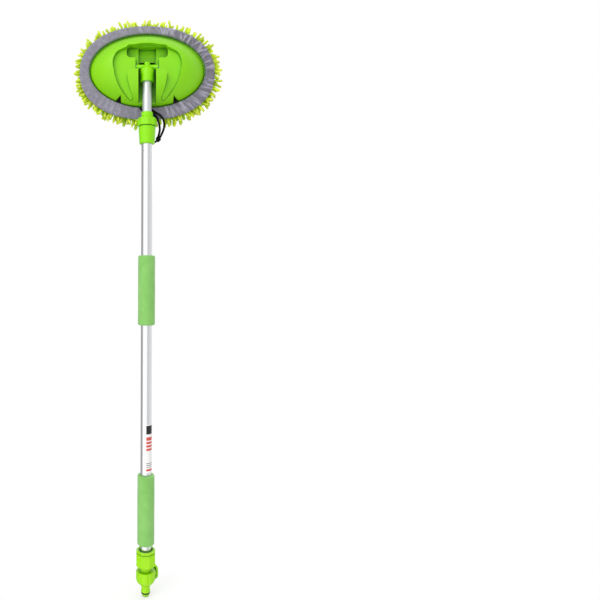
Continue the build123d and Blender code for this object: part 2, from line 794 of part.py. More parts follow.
def front_normal(x, height):
    lift = math.sqrt(front_radius_tall ** 2 - height ** 2)
    wide = front_radius_wide + lift - front_radius_tall
    return Vector(x / wide, math.sqrt(1 - (x / wide) ** 2), 0) * (lift / front_radius_tall) \
        + Vector(0, 0, height / front_radius_tall)


def outward(x, height):
    """Unit direction square to the cover's edge."""
    way = Vector(x / cover_half_width ** 2, 0, height / cover_half_height ** 2)
    return way.normalized() if way.length > 0 else Vector(0, 0, 1)


def strand(base, normal, way, length):
    """One four-sided strand: its root lies in the cloth and its tip is square to its own line."""
    side = normal.cross(way)
    side = side.normalized() if side.length > strand_straight_share else Vector(1, 0, 0)
    across_root = side.cross(normal).normalized()
    across_tip = side.cross(way).normalized()
    root = base - normal * strand_root
    tip = base + way * length
    ends = [square_loop(root, side * (strand_width / 2), across_root * (strand_width / 2)),
            square_loop(tip, side * (strand_tip_width / 2), across_tip * (strand_tip_width / 2))]
    return Solid.make_loft(ends, ruled=True)


def square_loop(centre, first, second):
    signs = [(1, 1), (-1, 1), (-1, -1), (1, -1)]
    return Wire.make_polygon([centre + first * a + second * b for a, b in signs], close=True)


def front_strands():
    """Rows of strands on the cover's face, splayed more towards its edge."""
    chance = random.Random(11)
    row_height = strand_pitch * math.sqrt(3) / 2
    rows = int(cover_half_height / row_height) + 1
    columns = int(cover_half_width / strand_pitch) + 1
    for row in range(-rows, rows + 1):
        for column in range(-columns, columns + 1):
            x = (column + (1 + row % 2) / 3) * strand_pitch
            height = row * row_height + row_height / 2
            share = math.hypot(x / cover_half_width, height / cover_half_height)
            jitter = 1 + strand_jitter_share * chance.uniform(-1, 1)
            if share > strand_edge_share:
                continue
            normal = front_normal(x, height)
            splay = math.radians(strand_splay) * share ** 2
            way = (normal * math.cos(splay) + outward(x, height) * math.sin(splay)).normalized()
            base = Vector(x, front_depth(x, height), pivot_height + height)
            yield strand(base, normal, way, strand_length * jitter), base, way


def edge_strands():
    """One row of strands round the side of the cover."""
    chance = random.Random(5)
    around = math.pi * (3 * (cover_half_width + cover_half_height) - math.sqrt(
        (3 * cover_half_width + cover_half_height) * (cover_half_width + 3 * cover_half_height)))
    count = 4 * int(around / edge_strand_pitch / 4)
    lean = math.radians(edge_strand_lean)
    for number in range(count):
        angle = (number + 1 / 2) * 2 * math.pi / count
        x, height = cover_half_width * math.cos(angle), cover_half_height * math.sin(angle)
        normal = outward(x, height)
        way = normal * math.cos(lean) + Vector(0, 1, 0) * math.sin(lean)
        jitter = 1 + strand_jitter_share * chance.uniform(-1, 1)
        base = Vector(x, edge_strand_depth, pivot_height + height)
        yield strand(base, normal, way, edge_strand_length * jitter), base, way


def make_chenille():
    """Four quarters of the cover, each a slice of cloth with its strands fused on."""
    shell = make_cover_shell()
    strands = list(front_strands()) + list(edge_strands())
    print("strands", len(strands))
    quarters = {}
    for name, x_side, z_side in (("upper_left", -1, 1), ("upper_right", 1, 1), ("lower_left", -1, -1),
                                 ("lower_right", 1, -1)):
        reach = 2 * cover_half_width
        box = Pos(x_side * reach / 2, cover_crown, pivot_height + z_side * reach / 2) * Box(reach, reach, reach)
        quarter = (shell & box).solid()
        own = [solid for solid, base, way in strands
               if base.X * x_side > 0 and (base.Z - pivot_height) * z_side > 0]
        quarters["chenille_" + name] = quarter.fuse(*own)
        print("chenille", name, "strands", len(own))
    return quarters


def tunnel_path():
    """Open oval of arcs through the hem, with a gap at its foot."""
    wide = (hem_half_width + hem_opening_half_width) / 2
    tall = (hem_half_height + hem_opening_half_height) / 2
    depth = (hem_back + plate_rim) / 2
    end_radius = tall ** 2 / wide
    long_radius = (wide ** 2 + tall ** 2 - 2 * wide * end_radius) / (2 * (tall - end_radius))
    end_centre = wide - end_radius
    long_centre = long_radius - tall
    lean = math.atan2(end_centre, long_centre)
    joint = (end_centre + end_radius * math.sin(lean), end_radius * math.cos(lean))
    gap = math.asin(tunnel_gap_half_width / long_radius)
    foot = (long_radius * math.sin(gap), long_centre - long_radius * math.cos(gap))
    between = (lean + gap) / 2
    middle = (long_radius * math.sin(between), long_centre - long_radius * math.cos(between))
    arcs = [ThreePointArc(foot, middle, (joint[0], -joint[1])),
            ThreePointArc((joint[0], -joint[1]), (wide, 0), joint),
            ThreePointArc(joint, (0, tall), (-joint[0], joint[1])),
            ThreePointArc((-joint[0], joint[1]), (-wide, 0), (-joint[0], -joint[1])),
            ThreePointArc((-joint[0], -joint[1]), (-middle[0], middle[1]), (-foot[0], foot[1]))]
    return head_plane(depth) * (Curve() + arcs)


def swept(path, radius):
    """Round cord along a path."""
    return sweep(Plane(origin=path @ 0, z_dir=path % 0) * Circle(radius), path=path)


def make_hem():
    hem = oval_block(hem_half_width, hem_half_height, hem_back, plate_rim)
    hem = Pos(0, 0, -hem_drop) * fillet(hem.edges(), hem_rounding)
    opening = oval_block(hem_opening_half_width, hem_opening_half_height,
                         hem_back - overrun, plate_rim + overrun)
    hem = hem - Pos(0, 0, hem_opening_rise) * opening - swept(tunnel_path(), tunnel_radius)
    for points in (right_cord_points, left_cord_points):
        start, way = Vector(points[0]), Vector(points[1]) - Vector(points[0])
        way = way.normalized()
        start = start - way * tunnel_radius
        mouth = Plane(origin=start, z_dir=way) * Circle(tunnel_radius)
        hole = extrude(mouth, amount=2 * (plate_rim - hem_back))
        hem = hem - hole
    return hem


def make_drawstring():
    return swept(tunnel_path(), cord_radius)


# Free cord ends and their knot

def cord_radii(points):
    """Bend radius at each corner, as large as its two runs allow."""
    radii = []
    for before, corner, after in zip(points, points[1:], points[2:]):
        first, second = Vector(corner) - Vector(before), Vector(after) - Vector(corner)
        half_turn = math.radians(first.get_angle(second)) / 2
        radii.append(cord_bend_share * min(first.length, second.length) / math.tan(half_turn))
    return radii


def make_cord(name, points):
    radii = cord_radii(points)
    path = FilletPolyline(*points, radius=radii)
    cord = swept(path, cord_radius)
    section = math.pi * cord_radius ** 2
    print(name, "radii", [round(radius, 1) for radius in radii])
    share = cord.volume / (section * path.length)
    print(name, "length", round(path.length, 1), "volume share", round(share, 4))
    return cord


def make_knot():
    """Two crossed loops of cord round a core, with a stub to each cord and two tails."""
    centre = Vector(knot_centre)
    knot = Pos(*knot_centre) * Sphere(knot_core_radius)
    for tilt_x, tilt_y in ((25, 60), (-40, 10)):
        knot = knot + Pos(*knot_centre) * Rot(tilt_x, tilt_y, 0) * Torus(knot_loop_radius, cord_radius)
    for points in (right_cord_points, left_cord_points):
        end, way = Vector(points[-1]), (Vector(points[-1]) - Vector(points[-2])).normalized()
        stub = extrude(Plane(origin=end, z_dir=way) * Circle(cord_radius), amount=knot_core_radius)
        knot = knot + stub
    for tail_end in knot_tail_ends:
        way = Vector(tail_end) - centre
        knot = knot + extrude(Plane(origin=centre, z_dir=way) * Circle(cord_radius), amount=way.length)
    return knot


save("hose_nipple", make_nipple())
save("nipple_seal", make_nipple_seal())
save("valve_body", make_valve_body())
save("ball_seats", make_ball_seats())
save("seat_retainer", make_seat_retainer())
save("valve_ball", make_valve_ball())
save("valve_stem", make_valve_stem())
save("stem_seal", make_stem_seal())
save("lever", make_lever())
save("lever_screw", make_lever_screw())
save("tube_coupling", make_coupling())
save("coupling_washer", make_washer())
save("outer_tube", make_outer_tube())
save("lower_grip", make_grip(lower_grip_foot))
save("middle_grip", make_grip(middle_grip_height))
save("label", make_label())
save("lock_body", make_lock_body())
save("lock_seal", make_lock_seal())
save("lock_collet", make_lock_collet())
save("lock_nut", make_lock_nut())
save("inner_tube", make_inner_tube_drilled())
save("guide_bush", make_guide_bush())
save("guide_seals", make_guide_seals())
save("hub", make_hub())
save("pivot_pins", make_pivot_pins())
save("hub_screw", hub_screw_shape())
save("head_plate", make_head_plate())
save("head_ribs", make_ribs())
save("sponge_pad", make_sponge_pad())
save("hem", make_hem())
save("hem_drawstring", make_drawstring())
save("cord_right", make_cord("cord_right", right_cord_points))
save("cord_left", make_cord("cord_left", left_cord_points))
save("cord_knot", make_knot())
for quarter_name, quarter in make_chenille().items():
    save(quarter_name, quarter)
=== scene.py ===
# %% [markdown]
# # A telescopic wash brush
# The real brush is two aluminium tubes in moulded plastic fittings, with a domed head in a
# chenille cover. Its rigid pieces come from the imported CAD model, so they only need finishes.
# Its soft pieces (noodles, hem, sponge, foam, cord) are built here, in the place of the plain
# solids that stand for them in the CAD model, and one nut gets its groove.

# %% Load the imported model
import math

import bmesh
import bpy
import numpy as np
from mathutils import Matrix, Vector


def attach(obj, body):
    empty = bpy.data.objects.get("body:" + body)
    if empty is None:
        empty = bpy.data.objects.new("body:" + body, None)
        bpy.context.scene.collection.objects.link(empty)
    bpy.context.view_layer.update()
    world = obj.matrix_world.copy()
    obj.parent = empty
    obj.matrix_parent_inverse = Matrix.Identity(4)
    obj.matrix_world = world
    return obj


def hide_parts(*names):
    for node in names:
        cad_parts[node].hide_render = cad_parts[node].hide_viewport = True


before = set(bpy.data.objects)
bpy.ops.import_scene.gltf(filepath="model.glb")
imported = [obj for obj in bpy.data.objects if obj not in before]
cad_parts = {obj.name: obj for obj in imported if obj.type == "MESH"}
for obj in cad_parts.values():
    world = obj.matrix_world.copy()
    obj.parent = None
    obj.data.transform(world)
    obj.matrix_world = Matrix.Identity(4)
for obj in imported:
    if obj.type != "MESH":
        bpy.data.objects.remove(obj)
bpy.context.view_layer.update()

# %% [markdown]
# Every colour below is written as the hex value that a paint chart or a picture editor shows.
# Blender's shaders work in linear light, so one function turns the one into the other.

# %% Colours
MM = 0.001


def colour(hex_value):
    """Linear RGBA of an sRGB hex value such as "A6E010"."""
    parts = [int(hex_value[i:i + 2], 16) / 255 for i in (0, 2, 4)]
    return [c / 12.92 if c <= 0.04045 else ((c + 0.055) / 1.055) ** 2.4 for c in parts] + [1.0]


print("lime in linear light:", [round(c, 3) for c in colour("A6E010")])

# %% [markdown]
# The photograph looks level at the middle of a brush that stands almost a metre tall, so the head
# is seen from below. The camera is held level at that height and its lens is shifted, as an
# architect's camera is, which keeps the pole's edges parallel in the picture.

# %% Camera
CAMERA_DISTANCE = 0.918
CAMERA_HEIGHT = 0.526
PHOTO_SIDE = 600
FOCAL_PIXELS = 536.5
HORIZON_ROW = 277
POLE_COLUMN = 146.6
POLE_LEAN = -0.18
SENSOR_WIDTH = 36

camera_data = bpy.data.cameras.new("camera")
camera_data.sensor_width = SENSOR_WIDTH
camera_data.lens = SENSOR_WIDTH * FOCAL_PIXELS / PHOTO_SIDE
camera_data.shift_x = (PHOTO_SIDE / 2 - POLE_COLUMN) / PHOTO_SIDE
camera_data.shift_y = (HORIZON_ROW - PHOTO_SIDE / 2) / PHOTO_SIDE
camera = bpy.data.objects.new("camera", camera_data)
camera.location = (0, -CAMERA_DISTANCE, CAMERA_HEIGHT)
camera.rotation_euler = (math.radians(90), math.radians(POLE_LEAN), 0)
bpy.context.scene.collection.objects.link(camera)
bpy.context.scene.camera = camera
bpy.context.scene.view_settings.view_transform = "Standard"
print("lens:", camera_data.lens, "mm, shift:", round(camera_data.shift_x, 3), round(camera_data.shift_y, 3))

# %% [markdown]
# The drawstring leaves the hem at its foot as two free ends, which hang beside the pole and meet
# in a knot. A limp cord is best drawn as a smooth NURBS curve through a few given points,
# with a round bevel, because such a curve has no corners however far it is bent.

# %% Drawstring's free ends
CORD_RADIUS = 1.9 * MM
RIGHT_CORD = [
    (8.0, 21.0, 819.5), (9.6, 15.9, 815.4), (15.8, 14.6, 811.4), (23.5, 15.0, 807.0),
    (29.2, 15.8, 799.0), (30.4, 16.6, 789.0), (27.4, 17.4, 778.5), (22.6, 17.8, 769.6)]
LEFT_CORD = [
    (-12.6, 21.0, 820.8), (-10.2, 16.2, 817.4), (-3.8, 13.0, 815.6), (5.0, 12.4, 813.4),
    (13.4, 13.0, 808.0), (19.0, 14.2, 799.0), (22.0, 14.8, 788.5), (22.2, 14.4, 778.0),
    (19.2, 13.8, 769.6)]


def cord_curve(name, routes, radius=CORD_RADIUS, closed=False):
    """Round cord along one or more routes of points in millimetres."""
    curve = bpy.data.curves.new(name, "CURVE")
    curve.dimensions = "3D"
    curve.bevel_depth = radius
    curve.bevel_resolution = 5
    curve.resolution_u = 10
    curve.use_fill_caps = True
    for route in routes:
        spline = curve.splines.new("NURBS")
        spline.points.add(len(route) - 1)
        for point, place in zip(spline.points, route):
            point.co = (*[value * MM for value in place], 1)
        spline.order_u = 3
        spline.use_endpoint_u = not closed
        spline.use_cyclic_u = closed
    piece = bpy.data.objects.new(name, curve)
    bpy.context.scene.collection.objects.link(piece)
    return piece


right_cord = cord_curve("drawstring_right", [RIGHT_CORD])
left_cord = cord_curve("drawstring_left", [LEFT_CORD])
print("free ends:", len(RIGHT_CORD), "and", len(LEFT_CORD), "points")

# %% [markdown]
# The two ends are tied together in one overhand knot, about 8 mm across, with two short tails.
# The knot is drawn as the cord itself, laid in a small loop that goes over and under.

# %% Knot
KNOT_CENTRE = np.array((19.4, 16.0, 765.8))
KNOT_TAILS = [(11.6, 16.4, 759.4), (19.6, 18.4, 761.6)]
KNOT_STEPS = 14
KNOT_REACH = 2.7
KNOT_WAVE = 1.0
KNOT_HALF_DEPTH = 1.8
TAIL_RADIUS = 1.7 * MM
LOOP_RADIUS = 1.65 * MM
knot_loop = []
for step in range(KNOT_STEPS):
    angle = step * 2 * math.pi / KNOT_STEPS
    around = KNOT_REACH + KNOT_WAVE * math.cos(3 * angle)
    knot_loop.append(tuple(KNOT_CENTRE + np.array((
        around * math.cos(2 * angle), KNOT_HALF_DEPTH * math.sin(3 * angle), around * math.sin(2 * angle)))))
knot_routes = [
    [RIGHT_CORD[-1], (21.0, 17.4, 768.0), tuple(KNOT_CENTRE + (0.2, 0.8, 0.0)),
     (16.2, 16.8, 762.4), KNOT_TAILS[0]],
    [LEFT_CORD[-1], (18.4, 14.6, 768.2), tuple(KNOT_CENTRE + (-0.2, -0.8, 0.0)),
     (19.8, 18.0, 763.2), KNOT_TAILS[1]]]
knot_ends = cord_curve("drawstring_tails", knot_routes, radius=TAIL_RADIUS)
knot = cord_curve("drawstring_knot", [knot_loop], radius=LOOP_RADIUS, closed=True)
print("knot at", [round(value, 1) for value in KNOT_CENTRE], "mm")

# %% [markdown]
# Inside the hem the same cord runs round the head in a tunnel, as an open oval. It hardly shows,
# but it is there, so it is drawn too.

# %% Drawstring in its tunnel
TUNNEL_WIDE = 110.25
TUNNEL_TALL = 73.5
TUNNEL_DEPTH = 21.15
PIVOT = 885.0
TUNNEL_GAP = 0.15
TUNNEL_STEPS = 48
tunnel_route = []
for step in range(TUNNEL_STEPS + 1):
    angle = -math.pi / 2 + TUNNEL_GAP + step * (2 * math.pi - 2 * TUNNEL_GAP) / TUNNEL_STEPS
    tunnel_route.append((TUNNEL_WIDE * math.cos(angle), TUNNEL_DEPTH, PIVOT + TUNNEL_TALL * math.sin(angle)))
tunnel_cord = cord_curve("drawstring_in_hem", [tunnel_route])
print("tunnel route:", len(tunnel_route), "points")

# %% [markdown]
# The cover is a bag of microfibre cloth, stretched over the pad. Its front is curved both ways,
# like the side of a barrel. These functions say how deep the cloth lies at any place on the head,
# and which way it faces there; the noodles stand on it.

# %% The cover's surface
COVER_WIDE = 114.5
COVER_TALL = 77.5
COVER_CROWN = 47.8
FRONT_RADIUS_TALL = 212.0
FRONT_RADIUS_WIDE = 440.0
COVER_BACK = 24.2
FULLNESS = 2.2


def oval(angle, wide, tall, fullness=FULLNESS):
    """Place on an oval that is a little fuller than an ellipse at its corners."""
    across, up = math.cos(angle), math.sin(angle)
    scale = (abs(across) ** fullness + abs(up) ** fullness) ** (-1 / fullness)
    return wide * across * scale, tall * up * scale


def oval_share(x, height):
    """How far out a place lies: 0 in the middle of the cover, 1 on its edge."""
    return (abs(x / COVER_WIDE) ** FULLNESS + abs(height / COVER_TALL) ** FULLNESS) ** (1 / FULLNESS)


def front_depth(x, height):
    """Depth of the cloth's front at a place, in millimetres from the pole's axis."""
    lift = np.sqrt(FRONT_RADIUS_TALL ** 2 - height ** 2) - FRONT_RADIUS_TALL
    return COVER_CROWN - FRONT_RADIUS_WIDE + np.sqrt((FRONT_RADIUS_WIDE + lift) ** 2 - x ** 2)


def front_normal(x, height):
    """Unit direction that the cloth's front faces at a place."""
    lift = math.sqrt(FRONT_RADIUS_TALL ** 2 - height ** 2)
    wide = FRONT_RADIUS_WIDE + lift - FRONT_RADIUS_TALL
    share = lift / FRONT_RADIUS_TALL
    return np.array((x / wide * share, math.sqrt(1 - (x / wide) ** 2) * share, height / FRONT_RADIUS_TALL))


def unit(vector):
    return vector / np.linalg.norm(vector)


def edge_way(x, height):
    """Unit direction square to the oval through a place, away from the middle."""
    return unit(np.array((x / COVER_WIDE ** 2, 0, height / COVER_TALL ** 2 + 1e-9)))


side_depth = float(front_depth(COVER_WIDE, 0))
print("depth at the crown and at the side:", front_depth(0, 0), round(side_depth, 1), "mm")

# %% [markdown]
# All meshes are made from plain lists of points and faces, in millimetres, and turned to metres
# once, here. Smooth shading hides the faces of rounded pieces.

# %% Mesh maker


def mesh_piece(name, points, faces, smooth=True):
    """Object from points in millimetres."""
    mesh = bpy.data.meshes.new(name)
    mesh.from_pydata((np.asarray(points, float) * MM).tolist(), [], faces)
    mesh.validate()
    mesh.polygons.foreach_set("use_smooth", [smooth] * len(mesh.polygons))
    mesh.update()
    piece = bpy.data.objects.new(name, mesh)
    bpy.context.scene.collection.objects.link(piece)
    return piece


def grid_faces(rows, columns, wrap=True):
    """Quads between rows of points, each row closed on itself where wrap is set."""
    faces = []
    for row in range(rows - 1):
        for column in range(columns if wrap else columns - 1):
            beside = (column + 1) % columns
            faces.append((row * columns + column, row * columns + beside,
                          (row + 1) * columns + beside, (row + 1) * columns + column))
    return faces


# %% [markdown]
# The cloth of the cover is one sheet: rings of points from the crown out to the edge, then round
# the edge and back to the hem. Its own thickness is only a millimetre and a half.

# %% Cover cloth
CLOTH_AROUND = 96
CLOTH_RINGS = 14
CROWN_SHARE = 0.04
EDGE_ROUNDING = 7.0
EDGE_SHARE = 0.93
EDGE_DEPTH_SHARE = 0.95
cloth_points = []
for share in np.linspace(CROWN_SHARE, EDGE_SHARE, CLOTH_RINGS):
    for step in range(CLOTH_AROUND):
        x, height = oval(step * 2 * math.pi / CLOTH_AROUND, COVER_WIDE * share, COVER_TALL * share)
        cloth_points.append((x, float(front_depth(x, height)), PIVOT + height))
for turn in (0.2, 0.45, 0.7, 1.0):
    for step in range(CLOTH_AROUND):
        share = EDGE_SHARE + (1 - EDGE_SHARE) * math.sin(turn * math.pi / 2)
        x, height = oval(step * 2 * math.pi / CLOTH_AROUND, COVER_WIDE * share, COVER_TALL * share)
        depth = float(front_depth(x * EDGE_DEPTH_SHARE, height * EDGE_DEPTH_SHARE))
        depth -= EDGE_ROUNDING * (1 - math.cos(turn * math.pi / 2))
        cloth_points.append((x, max(depth, COVER_BACK + 1), PIVOT + height))
for step in range(CLOTH_AROUND):
    x, height = oval(step * 2 * math.pi / CLOTH_AROUND, COVER_WIDE, COVER_TALL)
    cloth_points.append((x, COVER_BACK, PIVOT + height))
cloth_ring_count = len(cloth_points) // CLOTH_AROUND
cloth_points.append((0, COVER_CROWN, PIVOT))
cloth_faces = grid_faces(cloth_ring_count, CLOTH_AROUND)
cloth_faces += [(len(cloth_points) - 1, (step + 1) % CLOTH_AROUND, step) for step in range(CLOTH_AROUND)]
cover_cloth = mesh_piece("cover_cloth", cloth_points, cloth_faces)
print("cover cloth:", len(cloth_points), "points in", cloth_ring_count, "rings")

# %% [markdown]
# Each chenille noodle is a short finger of microfibre pile on a core thread: about 6 mm thick and
# 26 mm long, lumpy, with a rounded tip. It could be hair, but real chenille noodles are thick
# enough to cast shadows on each other, so each is a small bent tube, with rings whose radius
# swells and pinches. Two numbers are kept with every point for the material: how far along the
# noodle it lies, which the material uses to paint the roots darker as painted shade, and a shade of
# its own for each noodle. A third says how near the edge it stands, where the pile is drawn yellower.

# %% Noodles
NOODLE_SIDES = 8
NOODLE_RINGS = 12
NOODLE_RADIUS = 3.0
FRINGE_RADIUS = 2.05
NOODLE_LUMP = 5.6
LUMP_SWELL = 0.09
ROOT_SUNK = 1.5
SAG_SHARE = 0.35
SIDE_BEND = 0.055
PILE_ROUGHNESS = 0.045
# Each pair is how far up the rounded tip a ring lies, and its share of the radius
CAP_SHARES = [(0.0, 1.0), (0.45, 0.88), (0.8, 0.58), (0.97, 0.22)]


def noodle(base, normal, way, length, thick, chance):
    """Points of one noodle, ring by ring, then its tip."""
    side = unit(np.cross(way, chance.normal(size=3)))
    sag = 0.5 * (way - normal) * length * SAG_SHARE + side * length * chance.normal(0, SIDE_BEND)
    lump_start = chance.uniform(0, 2 * math.pi)
    stem = length - thick
    marks = list(np.linspace(-ROOT_SUNK, stem, NOODLE_RINGS - len(CAP_SHARES) + 1)[:-1])
    widths = [1 + LUMP_SWELL * math.sin(mark / NOODLE_LUMP * 2 * math.pi + lump_start) for mark in marks]
    marks += [stem + share * thick for share, _ in CAP_SHARES]
    widths += [width for _, width in CAP_SHARES]
    first = unit(np.cross(way, (0.3, 0.2, 1.0)))
    second = np.cross(way, first)
    rings = []
    for mark, width in zip(marks, widths):
        share = mark / length
        centre = base + way * mark + sag * (share ** 2 - 0.6 * share)
        radius = thick * width * chance.uniform(0.95, 1.05)
        for step in range(NOODLE_SIDES):
            angle = step * 2 * math.pi / NOODLE_SIDES + 0.4 * share
            out = radius * (1 + chance.normal(0, PILE_ROUGHNESS))
            rings.append(centre + (first * math.cos(angle) + second * math.sin(angle)) * out)
    rings.append(base + way * length + sag * 0.4)
    along = np.repeat(np.clip(np.array(marks) / length, 0, 1), NOODLE_SIDES)
    return rings, np.append(along, 1.0)


def noodle_faces(offset):
    """Faces of one noodle whose points start at an offset: its side, its tip and its flat root."""
    tip = NOODLE_RINGS * NOODLE_SIDES
    faces = grid_faces(NOODLE_RINGS, NOODLE_SIDES)
    last = tip - NOODLE_SIDES
    faces += [(last + step, last + (step + 1) % NOODLE_SIDES, tip) for step in range(NOODLE_SIDES)]
    faces.append(tuple(reversed(range(NOODLE_SIDES))))
    return [tuple(index + offset for index in face) for face in faces]


print("faces of one noodle:", len(noodle_faces(0)))

# %% [markdown]
# The noodles are sewn on in rows. On the face they stand in a staggered grid, splayed more and
# more towards the edge. Three more rows go round the side of the cover, and make the fringe that
# shows past the hem from behind. The fringe is thinner at its top left and at the foot.

# %% Places for the noodles
FACE_PITCH = 8.4
SPLAY = 44.0
FACE_LENGTH = 26.0
FACE_EDGE = 0.95
PLACE_JITTER = 0.5
FACE_STRAY = 0.055
FRINGE_STRAY = 0.26
# Each row of the fringe has a depth, a length, a count and a lean away from the hem in degrees
FRINGE_ROWS = [(27.4, 17.5, 92, -4.0), (31.5, 19.0, 84, 14.0), (36.0, 20.0, 80, 30.0)]
chance = np.random.default_rng(20)
row_height = FACE_PITCH * math.sqrt(3) / 2
places = []
for row in range(-int(COVER_TALL / row_height) - 1, int(COVER_TALL / row_height) + 2):
    for column in range(-int(COVER_WIDE / FACE_PITCH) - 1, int(COVER_WIDE / FACE_PITCH) + 2):
        x = (column + (row % 2) / 2) * FACE_PITCH + chance.normal(0, PLACE_JITTER)
        height = row * row_height + chance.normal(0, PLACE_JITTER)
        share = oval_share(x, height)
        if share > FACE_EDGE:
            continue
        normal = front_normal(x, height)
        splay = math.radians(SPLAY) * share ** 2
        way = normal * math.cos(splay) + edge_way(x, height) * math.sin(splay)
        way = unit(way + chance.normal(0, FACE_STRAY, 3))
        base = np.array((x, float(front_depth(x, height)), PIVOT + height))
        places.append((base, normal, way, FACE_LENGTH * chance.uniform(0.93, 1.05), NOODLE_RADIUS))
face_count = len(places)
for depth, length, count, lean in FRINGE_ROWS:
    for number in range(count):
        angle = (number + chance.uniform(0.2, 0.8)) * 2 * math.pi / count
        x, height = oval(angle, COVER_WIDE - 0.5, COVER_TALL - 0.5)
        normal = edge_way(x, height)
        tilt = math.radians(lean)
        way = normal * math.cos(tilt) + np.array((0, math.sin(tilt), -0.06))
        way = unit(way + chance.normal(0, FRINGE_STRAY, 3) * (1, 0.4, 1))
        sparse = max(0.0, math.sin(angle)) * max(0.0, -math.cos(angle)) * 2
        foot = max(0.0, -math.sin(angle))
        if chance.uniform(0, 1) < 0.3 * sparse + 0.14 * foot:
            continue
        reach = length * (0.93 - 0.05 * foot + 0.14 * sparse + 0.08 * math.cos(angle))
        reach *= chance.uniform(0.72, 1.14)
        places.append((np.array((x, depth, PIVOT + height)), normal, way, reach, FRINGE_RADIUS))
print("noodles on the face:", face_count, "round the side:", len(places) - face_count)

# %% Grow the noodles
noodle_points, all_faces, along_values, shade_values, edge_values = [], [], [], [], []
for number, (base, normal, way, length, thick) in enumerate(places):
    points, along = noodle(base, normal, way, length, thick, chance)
    all_faces += noodle_faces(len(noodle_points))
    noodle_points += points
    along_values += list(along)
    shade_values += [chance.uniform(0, 1)] * len(points)
    edge = 1.0 if number >= face_count else 0.6 * max(0.0, oval_share(base[0], base[2] - PIVOT) - 0.5)
    edge_values += [edge] * len(points)
noodles = mesh_piece("chenille_noodles", noodle_points, all_faces)
for name, values in (("along", along_values), ("shade", shade_values), ("edge", edge_values)):
    noodles.data.attributes.new(name, "FLOAT", "POINT").data.foreach_set("value", values)
print("noodle points:", len(noodle_points), "faces:", len(all_faces))

# %% [markdown]
# Under the cover lies a slab of open-cell sponge, which gives the head its spring. It hardly shows,
# so it is a plain crowned slab with rounded edges, a little smaller than the bag.

# %% Sponge
SPONGE_WIDE = 106.0
SPONGE_TALL = 69.0
SPONGE_BACK = 27.0
SPONGE_AROUND = 72
CLOTH_ROOM = 1.8
# Each pair is how far out a ring lies, and how far up the slab's side
sponge_rings = [(0.05, 0), (0.5, 0), (0.94, 0), (0.98, 0.12),
                (1.0, 0.35), (1.0, 0.7), (0.98, 0.93), (0.94, 1)]
sponge_rings += [(share, 1) for share in (0.8, 0.6, 0.4, 0.2, 0.05)]
sponge_points = []
for share, rise in sponge_rings:
    for step in range(SPONGE_AROUND):
        angle = step * 2 * math.pi / SPONGE_AROUND
        x, height = SPONGE_WIDE * share * math.cos(angle), SPONGE_TALL * share * math.sin(angle)
        front = float(front_depth(x, height)) - CLOTH_ROOM
        sponge_points.append((x, SPONGE_BACK + rise * (front - SPONGE_BACK), PIVOT + height))
sponge_faces = [tuple(reversed(face)) for face in grid_faces(len(sponge_rings), SPONGE_AROUND)]
sponge_faces.append(tuple(range(SPONGE_AROUND)))
sponge_faces.append(tuple(reversed(range(len(sponge_points) - SPONGE_AROUND, len(sponge_points)))))
sponge = mesh_piece("sponge_slab", sponge_points, sponge_faces)
print("sponge:", len(sponge_rings), "rings")

# %% [markdown]
# The hem is a strip of elastic binding, folded over the drawstring and sewn to the cover's rim.
# Pulled tight, it gathers: short slanted folds cross the band, most of them on the side where the
# cord was pulled. The strip is a sheet swept round the oval, and each fold is a soft ridge that is
# added to its back. Its outer edge waves a little with the same folds.

# %% Hem
HEM_WIDE, HEM_TALL, HEM_DROP = 118.3, 81.8, 2.0
OPENING_WIDE, OPENING_TALL, OPENING_RISE = 101.5, 64.5, 1.5
HEM_AROUND = 900
FOLD_COUNT = 150
# Each pair is a place across the strip, from opening to outer edge, and its depth
HEM_SECTION = [
    (0.16, 24.0), (0.06, 23.6), (0.012, 22.6), (0.0, 21.2), (0.02, 19.6), (0.07, 18.8), (0.15, 18.55),
    (0.25, 18.5), (0.36, 18.5), (0.48, 18.5), (0.60, 18.5), (0.71, 18.5), (0.81, 18.6), (0.89, 18.9),
    (0.95, 19.5), (0.985, 20.5), (1.0, 21.8), (0.985, 23.0), (0.94, 23.9), (0.86, 24.1)]
FOLD_HEIGHT = 1.9
EDGE_WAVE = 0.045
POLE_SIDE = 1.5 * math.pi
POLE_REACH = 0.22
FOLD_BACK = 21.0
FOLD_REACH = 0.55
fold_chance = np.random.default_rng(7)
# Each fold has a place round the head, a width, a strength, a slant and a place across the strip
folds = [(fold_chance.uniform(0, 2 * math.pi), fold_chance.uniform(0.008, 0.02),
          fold_chance.uniform(0.35, 1.0), fold_chance.normal(0.07, 0.06),
          fold_chance.uniform(0.2, 0.9)) for _ in range(FOLD_COUNT)]


def pulled(angle):
    """How strongly the strip is gathered at an angle round the head: most on the right."""
    right = max(0.0, math.cos(angle - 0.12))
    foot = 0.35 * max(0.0, -math.sin(angle)) ** 2
    top = 0.3 * max(0.0, math.sin(angle)) * max(0.0, math.cos(angle) + 0.5)
    return 0.18 + 1.15 * right ** 1.1 + foot + top


def ripple(angle, across):
    """Height of the folds at a place on the strip."""
    total = 0.0
    for place, width, strength, slant, reach in folds:
        gap = (angle - place - slant * (across - 0.5) + math.pi) % (2 * math.pi) - math.pi
        if abs(gap) < 3 * width:
            fade = math.exp(-((across - reach) / FOLD_REACH) ** 2)
            total += strength * fade * math.exp(-(gap / width) ** 2)
    return total


